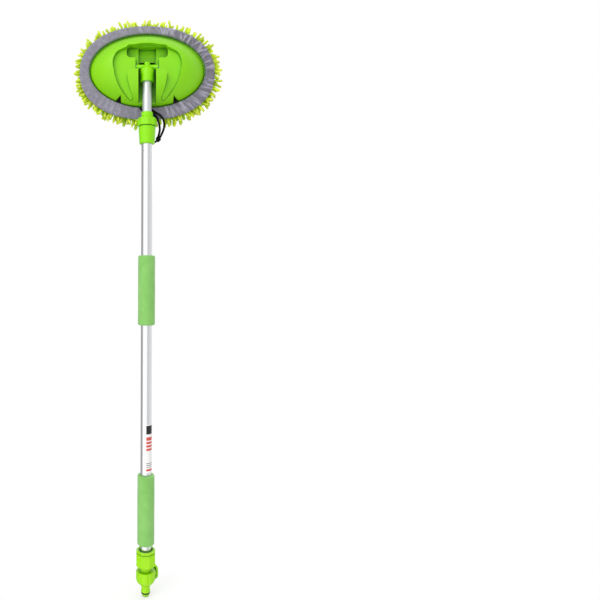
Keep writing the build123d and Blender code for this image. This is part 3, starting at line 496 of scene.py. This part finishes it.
hem_points, fold_shade_values = [], []
for step in range(HEM_AROUND):
    angle = step * 2 * math.pi / HEM_AROUND
    inner = np.array((OPENING_WIDE * math.cos(angle), OPENING_RISE + OPENING_TALL * math.sin(angle)))
    outer = np.array(oval(angle, HEM_WIDE, HEM_TALL)) - (0, HEM_DROP)
    strength = pulled(angle)
    near_pole = 1 - 0.85 * math.exp(-((angle - POLE_SIDE) / POLE_REACH) ** 2)
    for across, depth in HEM_SECTION:
        height = ripple(angle, across) * strength * near_pole
        on_back = max(0.0, min(1.0, (FOLD_BACK - depth) / 2.0))
        reach = across + EDGE_WAVE * (height - 0.3 * strength) * (across ** 3)
        x, z = inner + (outer - inner) * reach
        hem_points.append((x, depth + (0.5 * strength - FOLD_HEIGHT * height) * on_back, PIVOT + z))
        # The fold value goes to the material, which paints crests lighter and valleys darker: painted light
        # and shade
        fold_shade_values.append(height - 0.35 * strength)
hem_faces = [tuple(reversed(face)) for face in grid_faces(HEM_AROUND, len(HEM_SECTION), wrap=False)]
section = len(HEM_SECTION)
last = (HEM_AROUND - 1) * section
hem_faces += [(last + i, i, i + 1, last + i + 1)[::-1] for i in range(section - 1)]
hem = mesh_piece("gathered_hem", hem_points, hem_faces)
hem.data.attributes.new("fold", "FLOAT", "POINT").data.foreach_set("value", fold_shade_values)
print("hem:", len(hem_points), "points, deepest fold at", round(min(p[1] for p in hem_points), 2), "mm")

# %% [markdown]
# The two grips are sleeves of closed-cell foam. They are turned shapes: a profile of radius and
# height swept round the pole, with ends as round as a thumb, and a surface that is never quite
# true, because foam is cut and ground, not moulded.

# %% Foam grips
GRIP_RADIUS = 14.6
GRIP_BORE = 9.5
GRIP_LENGTH = 119.0
GRIP_ROUND = 2.8
GRIP_END_DISH = 0.6
GRIP_RING_GAP = 3
GRIP_UNEVEN = 0.028
GRIP_WAVES = 7
GRIP_AROUND = 96
LOWER_GRIP_FOOT = 69.5
MIDDLE_GRIP_FOOT = 443.8
grip_chance = np.random.default_rng(3)


def grip_sleeve(name, foot):
    """Foam sleeve from a height on the pole."""
    corner = [math.radians(value) for value in (0, 15, 30, 45, 60, 75, 90)]
    profile = [(GRIP_BORE, GRIP_END_DISH)]
    profile += [(GRIP_RADIUS - GRIP_ROUND + GRIP_ROUND * math.sin(a), GRIP_ROUND - GRIP_ROUND * math.cos(a))
                for a in corner]
    sides = np.linspace(GRIP_ROUND + GRIP_RING_GAP, GRIP_LENGTH - GRIP_ROUND - GRIP_RING_GAP, 24)
    profile += [(GRIP_RADIUS, height) for height in sides]
    profile += [(radius, GRIP_LENGTH - height) for radius, height in reversed(profile[:len(corner) + 1])]
    profile.append((GRIP_BORE, GRIP_END_DISH))
    waves = [(grip_chance.integers(1, 5), grip_chance.uniform(0.02, 0.12), grip_chance.uniform(0, 6.3))
             for _ in range(GRIP_WAVES)]
    points = []
    for number, (radius, height) in enumerate(profile):
        for step in range(GRIP_AROUND):
            angle = step * 2 * math.pi / GRIP_AROUND
            uneven = sum(math.sin(turns * angle + pitch * height + start) for turns, pitch, start in waves)
            out = radius + (uneven * GRIP_UNEVEN if radius > GRIP_BORE else 0)
            points.append((out * math.cos(angle), out * math.sin(angle), foot + height))
    return mesh_piece(name, points, grid_faces(len(profile), GRIP_AROUND))


lower_grip = grip_sleeve("foam_grip_lower", LOWER_GRIP_FOOT)
middle_grip = grip_sleeve("foam_grip_middle", MIDDLE_GRIP_FOOT)
print("grips:", lower_grip.name, "and", middle_grip.name)

# %% [markdown]
# The union nut that clamps the tube on the valve ends in a lip with a groove under it. A boolean cut
# would do, but it can leave slivers. Here the groove is pressed into a copy of the CAD nut: four
# level cuts go through its mesh, and the ring between the two inner cuts is moved in. The facets and
# the bore stay as they are.

# %% Union nut
UNION_TOP = 60.2 * MM
# Depths under the nut's top
GROOVE_CUTS = [3.1 * MM, 3.5 * MM, 4.7 * MM, 5.1 * MM]
GROOVE_DEPTH = 1.5 * MM
UNION_WALL = 14 * MM
CUT_SLACK = 0.01 * MM
SHARP_ANGLE = math.radians(25)
cad_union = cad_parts["tube_coupling"]
shape = bmesh.new()
shape.from_mesh(cad_union.data)
shape.transform(cad_union.matrix_world)
bmesh.ops.remove_doubles(shape, verts=shape.verts[:], dist=CUT_SLACK)
for drop in GROOVE_CUTS:
    bmesh.ops.bisect_plane(shape, geom=shape.verts[:] + shape.edges[:] + shape.faces[:],
                           plane_co=(0, 0, UNION_TOP - drop), plane_no=(0, 0, 1), dist=CUT_SLACK / 10)
pressed = 0
for vertex in shape.verts:
    out = math.hypot(vertex.co.x, vertex.co.y)
    drop = UNION_TOP - vertex.co.z
    if out > UNION_WALL and GROOVE_CUTS[1] - CUT_SLACK < drop < GROOVE_CUTS[2] + CUT_SLACK:
        vertex.co.x *= 1 - GROOVE_DEPTH / out
        vertex.co.y *= 1 - GROOVE_DEPTH / out
        pressed += 1
union_mesh = bpy.data.meshes.new("union_nut")
shape.to_mesh(union_mesh)
shape.free()
union_mesh.shade_smooth()
union_mesh.set_sharp_from_angle(angle=SHARP_ANGLE)
union_nut = bpy.data.objects.new("union_nut", union_mesh)
bpy.context.scene.collection.objects.link(union_nut)
print("union nut: faces", len(union_mesh.polygons), "corners pressed in:", pressed)

# %% [markdown]
# Materials start here. One small function adds a node to a material with its settings and links,
# and another starts a material from a name and the shader's own values. Patterns are placed in
# metres, so a pattern's scale is one over its real size.

# %% Node and material makers


def add_node(tree, kind, inputs=(), links=(), **settings):
    """Node with settings, values for some inputs and links from other nodes' outputs."""
    node = tree.nodes.new(kind)
    for name, value in settings.items():
        setattr(node, name, value)
    for name, value in dict(inputs).items():
        node.inputs[name].default_value = value
    for name, source in dict(links).items():
        tree.links.new(source, node.inputs[name])
    return node


def new_material(name, **shader):
    """Material with one principled shader, its values given by name."""
    material = bpy.data.materials.new(name)
    material.use_nodes = True
    surface = material.node_tree.nodes["Principled BSDF"]
    for socket, value in shader.items():
        surface.inputs[socket.replace("_", " ")].default_value = value
    return material, material.node_tree, surface


def per_metre(millimetres):
    """Texture scale whose pattern repeats about every so many millimetres."""
    return 1 / (millimetres * MM)


print("a 1.2 mm grain has scale", round(per_metre(1.2)))

# %% [markdown]
# Microfibre chenille. Dyed polyester pile, cut and twisted round a core: it has no gloss, it glows
# a little where light comes through the pile, and it has a soft sheen at its edges. Each noodle has
# its own shade, at random. The roots are painted darker than the tips, as painted shade where the
# noodles crowd, and the fringe is drawn yellower.

# %% Microfibre chenille
chenille, tree, surface = new_material(
    "microfibre_chenille", Roughness=0.95, Sheen_Weight=0.35, Sheen_Roughness=0.45, Subsurface_Weight=0.12)
surface.inputs["Sheen Tint"].default_value = colour("E4FF8C")
surface.inputs["Subsurface Radius"].default_value = (0.0018, 0.0022, 0.0006)
surface.inputs["Subsurface Scale"].default_value = 1.0
along = add_node(tree, "ShaderNodeAttribute", attribute_name="along")
shade = add_node(tree, "ShaderNodeAttribute", attribute_name="shade")
place = add_node(tree, "ShaderNodeTexCoord")
pile = add_node(tree, "ShaderNodeTexNoise", {"Scale": per_metre(1.3), "Detail": 3.0, "Roughness": 0.65},
                {"Vector": place.outputs["Object"]})
edge = add_node(tree, "ShaderNodeAttribute", attribute_name="edge")
# Root, middle and tip of a noodle, on the face and in the fringe: the dark root is painted shade
FACE_SHADE_AND_DYES = ("3C7C00", "92D60C", "CCF640")
FRINGE_SHADE_AND_DYES = ("8CAC00", "CCEA20", "F0FA5C")
dyed_and_shaded = add_node(tree, "ShaderNodeMix", data_type="RGBA")
tree.links.new(edge.outputs["Fac"], dyed_and_shaded.inputs["Factor"])
for socket, (root, middle, tip) in ((6, FACE_SHADE_AND_DYES), (7, FRINGE_SHADE_AND_DYES)):
    ramp = add_node(tree, "ShaderNodeValToRGB", links={"Fac": along.outputs["Fac"]})
    ramp.color_ramp.elements[0].color, ramp.color_ramp.elements[1].color = colour(root), colour(tip)
    ramp.color_ramp.elements.new(0.5).color = colour(middle)
    tree.links.new(ramp.outputs["Color"], dyed_and_shaded.inputs[socket])
own_shade = add_node(tree, "ShaderNodeMapRange", {"To Min": 0.74, "To Max": 1.14},
                     {"Value": shade.outputs["Fac"]})
pile_shade = add_node(tree, "ShaderNodeMapRange",
                      {"From Min": 0.3, "From Max": 0.7, "To Min": 0.84, "To Max": 1.1},
                      {"Value": pile.outputs["Fac"]})
both = add_node(tree, "ShaderNodeMath",
                links={0: own_shade.outputs["Result"], 1: pile_shade.outputs["Result"]},
                operation="MULTIPLY")
tinted = add_node(tree, "ShaderNodeVectorMath", links={0: dyed_and_shaded.outputs[2]}, operation="SCALE")
tree.links.new(both.outputs[0], tinted.inputs["Scale"])
tree.links.new(tinted.outputs["Vector"], surface.inputs["Base Color"])
fluff = add_node(tree, "ShaderNodeBump", {"Strength": 0.6, "Distance": 0.6 * MM},
                 {"Height": pile.outputs["Fac"]})
tree.links.new(fluff.outputs["Normal"], surface.inputs["Normal"])
print("chenille nodes:", len(tree.nodes))

# %% [markdown]
# Moulded ABS. The green fittings are injection moulded: an even colour, a satin face off a spark
# eroded mould, and edges a few tenths of a millimetre round, which catch the light. The rounded
# edges come from a bevel node, and a very fine grain breaks up the gloss. Two ambient occlusion
# nodes, a wide one for hollows and a narrow one for inside corners, mix in a deeper green there:
# this is painted shade in hollows and corners.

# %% Moulded ABS
# Reach of the painted shade in hollows and in inside corners
HOLLOW_REACH = 24 * MM
CORNER_REACH = 4 * MM


def moulded_abs(name, base, dark, painted_shade, roughness):
    """Satin plastic in two near shades, with painted shade in its hollows and corners, and rounded edges."""
    material, tree, surface = new_material(name, Roughness=roughness, IOR=1.53, Specular_IOR_Level=0.3,
                                           Subsurface_Weight=0.06)
    surface.inputs["Subsurface Radius"].default_value = (0.0015, 0.002, 0.0004)
    surface.inputs["Subsurface Scale"].default_value = 1.0
    place = add_node(tree, "ShaderNodeTexCoord")
    flow = add_node(tree, "ShaderNodeTexNoise", {"Scale": per_metre(60), "Detail": 2.0},
                    {"Vector": place.outputs["Object"]})
    shades = add_node(tree, "ShaderNodeMix", data_type="RGBA")
    shades.inputs[6].default_value, shades.inputs[7].default_value = colour(dark), colour(base)
    tree.links.new(flow.outputs["Fac"], shades.inputs["Factor"])
    openness = add_node(tree, "ShaderNodeAmbientOcclusion", {"Distance": HOLLOW_REACH}, samples=8)
    hollow_shade_mask = add_node(tree, "ShaderNodeMapRange", {"From Min": 0.12, "From Max": 0.60},
                      {"Value": openness.outputs["AO"]})
    corner = add_node(tree, "ShaderNodeAmbientOcclusion", {"Distance": CORNER_REACH}, samples=8)
    corner_shade_mask = add_node(tree, "ShaderNodeMapRange", {"From Min": 0.30, "From Max": 0.78},
                      {"Value": corner.outputs["AO"]})
    unshaded_share = add_node(tree, "ShaderNodeMath", operation="MULTIPLY",
                          links={0: hollow_shade_mask.outputs["Result"], 1: corner_shade_mask.outputs["Result"]})
    # Painted shade: a deeper green mixed in where the ambient occlusion finds hollows and corners
    with_painted_shade = add_node(tree, "ShaderNodeMix", data_type="RGBA")
    with_painted_shade.inputs[6].default_value = colour(painted_shade)
    tree.links.new(unshaded_share.outputs[0], with_painted_shade.inputs["Factor"])
    tree.links.new(shades.outputs[2], with_painted_shade.inputs[7])
    tree.links.new(with_painted_shade.outputs[2], surface.inputs["Base Color"])
    grain = add_node(tree, "ShaderNodeTexNoise", {"Scale": per_metre(0.7), "Detail": 2.0},
                     {"Vector": place.outputs["Object"]})
    edges = add_node(tree, "ShaderNodeBevel", {"Radius": 0.7 * MM}, samples=6)
    bump = add_node(tree, "ShaderNodeBump", {"Strength": 0.10, "Distance": 0.05 * MM},
                    {"Height": grain.outputs["Fac"], "Normal": edges.outputs["Normal"]})
    tree.links.new(bump.outputs["Normal"], surface.inputs["Normal"])
    gloss = add_node(tree, "ShaderNodeMapRange", {"To Min": roughness - 0.04, "To Max": roughness + 0.06},
                     {"Value": flow.outputs["Fac"]})
    tree.links.new(gloss.outputs["Result"], surface.inputs["Roughness"])
    return material


# Each plastic: its colour, a near colour, the colour of its painted shade in hollows and corners, and its
# roughness
plate_abs = moulded_abs("moulded_abs_plate", "8EDC00", "82D200", "2E8200", 0.40)
fitting_abs = moulded_abs("moulded_abs_fittings", "94E800", "88DC00", "4CA800", 0.34)
foot_abs = moulded_abs("moulded_abs_foot", "A8EA0C", "9ADE08", "509400", 0.34)
print("plastics:", plate_abs.name, fitting_abs.name, foot_abs.name)

# %% [markdown]
# Drawn aluminium. The tubes are drawn through a die and clear anodised; the thin inner one has a
# duller, milky coat. The die leaves hair lines along the tube, so the surface is far smoother along
# than across: a noise stretched along the pole gives both the lines and their uneven gloss.

# %% Drawn aluminium


def drawn_tube(name, base, metallic, smooth, rough):
    """Drawn tube whose gloss and surface follow fine lines along the pole."""
    material, tree, surface = new_material(name, Metallic=metallic)
    surface.inputs["Base Color"].default_value = colour(base)
    place = add_node(tree, "ShaderNodeTexCoord")
    stretched = add_node(tree, "ShaderNodeMapping",
                         {"Scale": (per_metre(0.5), per_metre(0.5), per_metre(60))},
                         {"Vector": place.outputs["Object"]})
    lines = add_node(tree, "ShaderNodeTexNoise", {"Scale": 1.0, "Detail": 3.0},
                     {"Vector": stretched.outputs["Vector"]})
    gloss = add_node(tree, "ShaderNodeMapRange", {"To Min": smooth, "To Max": rough},
                     {"Value": lines.outputs["Fac"]})
    tree.links.new(gloss.outputs["Result"], surface.inputs["Roughness"])
    bump = add_node(tree, "ShaderNodeBump", {"Strength": 0.12, "Distance": 0.02 * MM},
                    {"Height": lines.outputs["Fac"]})
    tree.links.new(bump.outputs["Normal"], surface.inputs["Normal"])
    return material


aluminium = drawn_tube("drawn_anodised_aluminium", "E6E7E9", 1.0, 0.18, 0.36)
satin_aluminium = drawn_tube("satin_anodised_aluminium", "D8D9DB", 0.6, 0.30, 0.45)
print("tubes:", aluminium.name, satin_aluminium.name)

# %% [markdown]
# Closed-cell foam. EVA foam ground to size: quite matt, with pores of a few tenths of a millimetre
# that are drawn at 0.9 mm so that they show, and a slight chalky bloom.

# %% Closed-cell foam
foam, tree, surface = new_material("closed_cell_foam", Roughness=0.88, Sheen_Weight=0.25, Sheen_Roughness=0.6)
place = add_node(tree, "ShaderNodeTexCoord")
cells = add_node(tree, "ShaderNodeTexVoronoi", {"Scale": per_metre(0.9)}, {"Vector": place.outputs["Object"]})
bloom = add_node(tree, "ShaderNodeTexNoise", {"Scale": per_metre(22), "Detail": 4.0},
                 {"Vector": place.outputs["Object"]})
shades = add_node(tree, "ShaderNodeValToRGB", links={"Fac": bloom.outputs["Fac"]})
shades.color_ramp.elements[0].position, shades.color_ramp.elements[1].position = 0.3, 0.7
shades.color_ramp.elements[0].color, shades.color_ramp.elements[1].color = colour("78BA56"), colour("88C666")
tree.links.new(shades.outputs["Color"], surface.inputs["Base Color"])
bump = add_node(tree, "ShaderNodeBump", {"Strength": 0.35, "Distance": 0.15 * MM},
                {"Height": cells.outputs["Distance"]})
tree.links.new(bump.outputs["Normal"], surface.inputs["Normal"])
print("foam nodes:", len(tree.nodes))

# %% [markdown]
# Woven elastic. The binding is a plain weave of grey yarn over rubber threads. Its threads are
# half a millimetre apart, and are drawn at 1.1 mm so that they show. The folds are painted lighter
# on their crests and darker in their valleys: painted light and shade.

# %% Woven elastic
elastic, tree, surface = new_material("woven_elastic", Roughness=0.82, Sheen_Weight=0.3, Sheen_Roughness=0.5)
# A wave texture repeats about every 6.3 of its units
THREAD_SCALE = per_metre(1.1) / 6.3
place = add_node(tree, "ShaderNodeTexCoord")
warp = add_node(tree, "ShaderNodeTexWave", {"Scale": THREAD_SCALE, "Distortion": 1.2, "Detail": 2.0},
                {"Vector": place.outputs["Object"]}, bands_direction="X")
weft = add_node(tree, "ShaderNodeTexWave", {"Scale": THREAD_SCALE, "Distortion": 1.2, "Detail": 2.0},
                {"Vector": place.outputs["Object"]}, bands_direction="Z")
fold = add_node(tree, "ShaderNodeAttribute", attribute_name="fold")
weave = add_node(tree, "ShaderNodeMath", links={0: warp.outputs["Fac"], 1: weft.outputs["Fac"]},
                 operation="MULTIPLY")
slub = add_node(tree, "ShaderNodeTexNoise", {"Scale": per_metre(5), "Detail": 4.0},
                {"Vector": place.outputs["Object"]})
mixed = add_node(tree, "ShaderNodeMath", {1: 0.35}, {0: weave.outputs[0], 2: slub.outputs["Fac"]},
                 operation="MULTIPLY_ADD")
shades = add_node(tree, "ShaderNodeValToRGB", links={"Fac": mixed.outputs[0]})
shades.color_ramp.elements[0].position, shades.color_ramp.elements[1].position = 0.3, 0.9
shades.color_ramp.elements[0].color, shades.color_ramp.elements[1].color = colour("868293"), colour("A6A1B2")
# Painted light and shade: the folds' crests are made lighter and their valleys darker
fold_light_and_shade = add_node(tree, "ShaderNodeMapRange",
                  {"From Min": -0.4, "From Max": 0.5, "To Min": 0.52, "To Max": 1.12},
                  {"Value": fold.outputs["Fac"]})
tinted = add_node(tree, "ShaderNodeVectorMath", links={0: shades.outputs["Color"]}, operation="SCALE")
tree.links.new(fold_light_and_shade.outputs["Result"], tinted.inputs["Scale"])
tree.links.new(tinted.outputs["Vector"], surface.inputs["Base Color"])
bump = add_node(tree, "ShaderNodeBump", {"Strength": 0.35, "Distance": 0.25 * MM},
                {"Height": weave.outputs[0]})
tree.links.new(bump.outputs["Normal"], surface.inputs["Normal"])
print("elastic nodes:", len(tree.nodes))

# %% [markdown]
# The smaller finishes: braided polyester for the drawstring, nitrile rubber for the seals, acetal
# for the valve's and the lock's hidden pieces, stainless steel for screws and pins, open-cell
# sponge, and the cover's base cloth, which is only seen in the dark between noodles; its green is
# darkened to olive as painted shade.

# %% Small finishes


def grained(name, low, high, grain, strength, distance, **shader):
    """Material in two near shades with a noise grain of a size in millimetres."""
    material, tree, surface = new_material(name, **shader)
    place = add_node(tree, "ShaderNodeTexCoord")
    noise = add_node(tree, "ShaderNodeTexNoise", {"Scale": per_metre(grain), "Detail": 3.0},
                     {"Vector": place.outputs["Object"]})
    shades = add_node(tree, "ShaderNodeValToRGB", links={"Fac": noise.outputs["Fac"]})
    shades.color_ramp.elements[0].position, shades.color_ramp.elements[1].position = 0.35, 0.65
    shades.color_ramp.elements[0].color, shades.color_ramp.elements[1].color = colour(low), colour(high)
    tree.links.new(shades.outputs["Color"], surface.inputs["Base Color"])
    bump = add_node(tree, "ShaderNodeBump", {"Strength": strength, "Distance": distance * MM},
                    {"Height": noise.outputs["Fac"]})
    tree.links.new(bump.outputs["Normal"], surface.inputs["Normal"])
    return material


braid = grained("braided_polyester", "020203", "0A0A0C", 1.2, 0.8, 0.4, Roughness=0.85,
                Specular_IOR_Level=0.25)
nitrile = grained("nitrile_rubber", "070707", "121212", 1.5, 0.1, 0.05, Roughness=0.45)
acetal = grained("moulded_acetal", "E2E1DC", "EAE9E4", 8.0, 0.05, 0.05, Roughness=0.35, IOR=1.48)
steel = grained("turned_stainless_steel", "8E8E92", "A8A8AC", 0.8, 0.1, 0.03, Metallic=1.0, Roughness=0.3)
sponge_foam = grained("open_cell_sponge", "262624", "3E3E3A", 2.0, 0.9, 0.8, Roughness=0.95)
# The base cloth's green is darkened to olive as painted shade between the noodles
shaded_base_cloth = grained("knitted_microfibre_painted_shade", "4C7800", "6C9C00", 1.0, 0.5, 0.3, Roughness=0.95)
print("small finishes:", [made.name for made in (braid, nitrile, acetal, steel, sponge_foam, shaded_base_cloth)])

# %% [markdown]
# The label is white polypropylene film with plain blocks and bars. Each is a band of height along
# the pole, cut to a part of the way round: one ramp with hard steps gives them all.

# %% Printed film
film, tree, surface = new_material("blank_printed_film", Roughness=0.3, IOR=1.49)
LABEL_FOOT = 193.5 * MM
LABEL_HEIGHT = 82 * MM
PRINT_EDGE = 0.3 * MM
PAPER = "F2F2F0"
place = add_node(tree, "ShaderNodeTexCoord")
apart = add_node(tree, "ShaderNodeSeparateXYZ", links={"Vector": place.outputs["Object"]})
height = add_node(tree, "ShaderNodeMapRange", {"From Min": LABEL_FOOT, "From Max": LABEL_FOOT + LABEL_HEIGHT},
                  {"Value": apart.outputs["Z"]})
print_ramp = add_node(tree, "ShaderNodeValToRGB", links={"Fac": height.outputs["Result"]})
bands = print_ramp.color_ramp
bands.interpolation = "CONSTANT"
bands.elements[0].color = colour(PAPER)
bands.elements[1].position, bands.elements[1].color = 0.98, colour(PAPER)
PRINTED_BANDS = [
    (0.04, "D8382C"), (0.08, PAPER), (0.11, "7A7A7A"), (0.125, PAPER), (0.15, "7A7A7A"),
    (0.165, PAPER), (0.19, "7A7A7A"), (0.205, PAPER), (0.46, "D8524A"), (0.505, PAPER),
    (0.53, "D8524A"), (0.575, PAPER), (0.60, "D8524A"), (0.645, PAPER), (0.67, "D8524A"),
    (0.74, PAPER), (0.80, "1A1A1A")]
for position, ink in PRINTED_BANDS:
    bands.elements.new(position).color = colour(ink)
side_cut = add_node(tree, "ShaderNodeMath", {1: PRINT_EDGE}, {0: apart.outputs["X"]},
                    operation="GREATER_THAN")
inked = add_node(tree, "ShaderNodeMix", data_type="RGBA")
inked.inputs[6].default_value = colour(PAPER)
tree.links.new(side_cut.outputs[0], inked.inputs["Factor"])
tree.links.new(print_ramp.outputs["Color"], inked.inputs[7])
tree.links.new(inked.outputs[2], surface.inputs["Base Color"])
print("label bands:", len(bands.elements))

# %% [markdown]
# Each CAD piece gets the finish of its real counterpart. The material is put in the object's own
# slot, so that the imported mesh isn't touched.

# %% Finishes
FINISHES = {
    plate_abs: ["head_plate", "head_ribs"],
    fitting_abs: ["hub", "lock_body", "lock_nut"],
    foot_abs: ["valve_body", "lever", "hose_nipple"],
    aluminium: ["outer_tube"],
    satin_aluminium: ["inner_tube"],
    nitrile: ["nipple_seal", "coupling_washer", "lock_seal", "stem_seal", "guide_seals"],
    acetal: ["lock_collet", "seat_retainer", "ball_seats", "valve_stem", "valve_ball", "guide_bush"],
    steel: ["lever_screw", "pivot_pins", "hub_screw"],
    film: ["label"]}


def finish_with(piece, material):
    """Gives a piece one material, in its object's slot."""
    if not piece.material_slots:
        piece.data.materials.append(None)
    for place in piece.material_slots:
        place.link = "OBJECT"
        place.material = material


for material, names in FINISHES.items():
    for name in names:
        finish_with(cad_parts[name], material)
for piece, material in ((noodles, chenille), (cover_cloth, shaded_base_cloth), (sponge, sponge_foam), (hem, elastic),
                        (lower_grip, foam), (middle_grip, foam), (right_cord, braid), (left_cord, braid),
                        (knot, braid), (knot_ends, braid), (tunnel_cord, braid), (union_nut, foot_abs)):
    finish_with(piece, material)
print("finished CAD pieces:", sum(len(names) for names in FINISHES.values()))

# %% [markdown]
# Now each piece made here takes the place of the plain solid that stood for it and moves with its
# body.

# %% Bodies, stand-ins and soft pieces
QUARTERS = ["chenille_upper_left", "chenille_upper_right", "chenille_lower_left", "chenille_lower_right"]
for piece, body, slot, nodes in (
        (noodles, "head", "chenille", QUARTERS), (cover_cloth, "head", "chenille", []),
        (sponge, "head", "sponge", ["sponge_pad"]), (hem, "head", "hem_fabric", ["hem"]),
        (tunnel_cord, "head", "cord", ["hem_drawstring"]), (right_cord, "head", "cord", ["cord_right"]),
        (left_cord, "head", "cord", ["cord_left"]), (knot, "head", "cord", ["cord_knot"]),
        (knot_ends, "head", "cord", []), (lower_grip, "outer_pole", "grip_foam", ["lower_grip"]),
        (middle_grip, "outer_pole", "grip_foam", ["middle_grip"]),
        (union_nut, "outer_pole", "abs_bright", ["tube_coupling"])):
    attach(piece, body)
    if nodes:
        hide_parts(*nodes)

# %% [markdown]
# The studio: the brush stands on white paper before a white wall. Shiny tubes show what stands
# round them, so the surroundings are set out by direction: a bright window to the front left, a
# dark flag behind it at the left, and a grey wall at the right. The light comes more from above
# than from below.

# %% Surroundings
world = bpy.data.worlds.new("studio")
bpy.context.scene.world = world
world.use_nodes = True
tree = world.node_tree
tree.nodes.clear()
place = add_node(tree, "ShaderNodeTexCoord")
apart = add_node(tree, "ShaderNodeSeparateXYZ", links={"Vector": place.outputs["Generated"]})
to_front = add_node(tree, "ShaderNodeMath", {1: -1.0}, {0: apart.outputs["Y"]}, operation="MULTIPLY")
bearing = add_node(tree, "ShaderNodeMath", links={0: apart.outputs["X"], 1: to_front.outputs[0]},
                   operation="ARCTAN2")
turn_share = add_node(tree, "ShaderNodeMapRange", {"From Min": -math.pi, "From Max": math.pi},
                      {"Value": bearing.outputs[0]})
climb_share = add_node(tree, "ShaderNodeMapRange", {"From Min": -1.0, "From Max": 1.0},
                       {"Value": apart.outputs["Z"]})
# Shares of a full turn: 0.25 is square to the left, 0.5 the front and 0.75 square to the right
LEVELS_BY_TURN = [
    (0.0, 0.62), (0.07, 0.28), (0.265, 0.30), (0.315, 0.97),
    (0.52, 0.95), (0.555, 0.50), (0.78, 0.64), (0.95, 0.68)]
# Shares of the way up from straight below
LEVELS_BY_CLIMB = [(0.05, 0.60), (0.18, 0.74), (0.30, 0.72), (0.72, 0.70), (0.84, 0.78)]
product = add_node(tree, "ShaderNodeMix", {"Factor": 1.0}, data_type="RGBA", blend_type="MULTIPLY")
for socket, share, levels in ((6, turn_share, LEVELS_BY_TURN), (7, climb_share, LEVELS_BY_CLIMB)):
    ramp = add_node(tree, "ShaderNodeValToRGB", links={"Fac": share.outputs["Result"]})
    points = ramp.color_ramp.elements
    points[0].position, points[1].position = levels[0][0], levels[-1][0]
    for position, _ in levels[1:-1]:
        points.new(position)
    for point, (_, level) in zip(points, levels):
        point.color = (level, level, level, 1)
    tree.links.new(ramp.outputs["Color"], product.inputs[socket])
around = add_node(tree, "ShaderNodeBackground", {"Strength": 2.0}, {"Color": product.outputs[2]})
white = add_node(tree, "ShaderNodeBackground", {"Color": (1, 1, 1, 1), "Strength": 1.0})
ray = add_node(tree, "ShaderNodeLightPath")
seen = add_node(tree, "ShaderNodeMixShader",
                links={"Fac": ray.outputs["Is Camera Ray"], 1: around.outputs[0], 2: white.outputs[0]})
add_node(tree, "ShaderNodeOutputWorld", links={"Surface": seen.outputs[0]})
print("surroundings:", len(tree.nodes), "nodes")

# %% [markdown]
# The paper glows as white as the wall, so that no horizon shows. Only close round the foot of the
# brush is it plain paper, which holds a soft shadow there.

# %% Paper and lamps
FLOOR_HALF = 40
FLOOR_HEIGHT = -0.0188
SHADOW_REACH = 0.16
floor_mesh = bpy.data.meshes.new("floor")
floor_corners = [(x * FLOOR_HALF, y * FLOOR_HALF, FLOOR_HEIGHT)
                 for x, y in ((-1, -1), (1, -1), (1, 1), (-1, 1))]
floor_mesh.from_pydata(floor_corners, [], [(0, 1, 2, 3)])
floor = bpy.data.objects.new("floor", floor_mesh)
bpy.context.scene.collection.objects.link(floor)
floor.visible_glossy = False
floor.visible_diffuse = False
paper, tree, surface = new_material("white_paper", Roughness=0.9)
surface.inputs["Base Color"].default_value = colour("FCFCFC")
place = add_node(tree, "ShaderNodeTexCoord")
far = add_node(tree, "ShaderNodeVectorMath", links={0: place.outputs["Object"]}, operation="LENGTH")
plain = add_node(tree, "ShaderNodeMapRange",
                 {"From Min": 0.0, "From Max": SHADOW_REACH, "To Min": 0.5, "To Max": 0.0},
                 {"Value": far.outputs["Value"]})
glow = add_node(tree, "ShaderNodeEmission", {"Color": (1, 1, 1, 1), "Strength": 1.0})
sheet = add_node(tree, "ShaderNodeMixShader", links={
    "Fac": plain.outputs["Result"], 1: glow.outputs[0], 2: surface.outputs[0]})
tree.links.new(sheet.outputs[0], tree.nodes["Material Output"].inputs["Surface"])
floor_mesh.materials.append(paper)


def soft_box(name, place, target, size, watts):
    """Square area light that faces a point."""
    light = bpy.data.lights.new(name, "AREA")
    light.shape, light.size, light.energy = "SQUARE", size, watts
    lamp = bpy.data.objects.new(name, light)
    lamp.location = place
    lamp.rotation_euler = (Vector(target) - Vector(place)).to_track_quat("-Z", "Y").to_euler()
    bpy.context.scene.collection.objects.link(lamp)
    return lamp


LAMP_AIM = (0, 0, 0.8)
soft_box("key", (-1.2, -1.5, 2.2), LAMP_AIM, 0.8, 10)
soft_box("back", (0.6, 1.8, 1.7), LAMP_AIM, 1.4, 10)
print("lights:", len(bpy.data.lights))
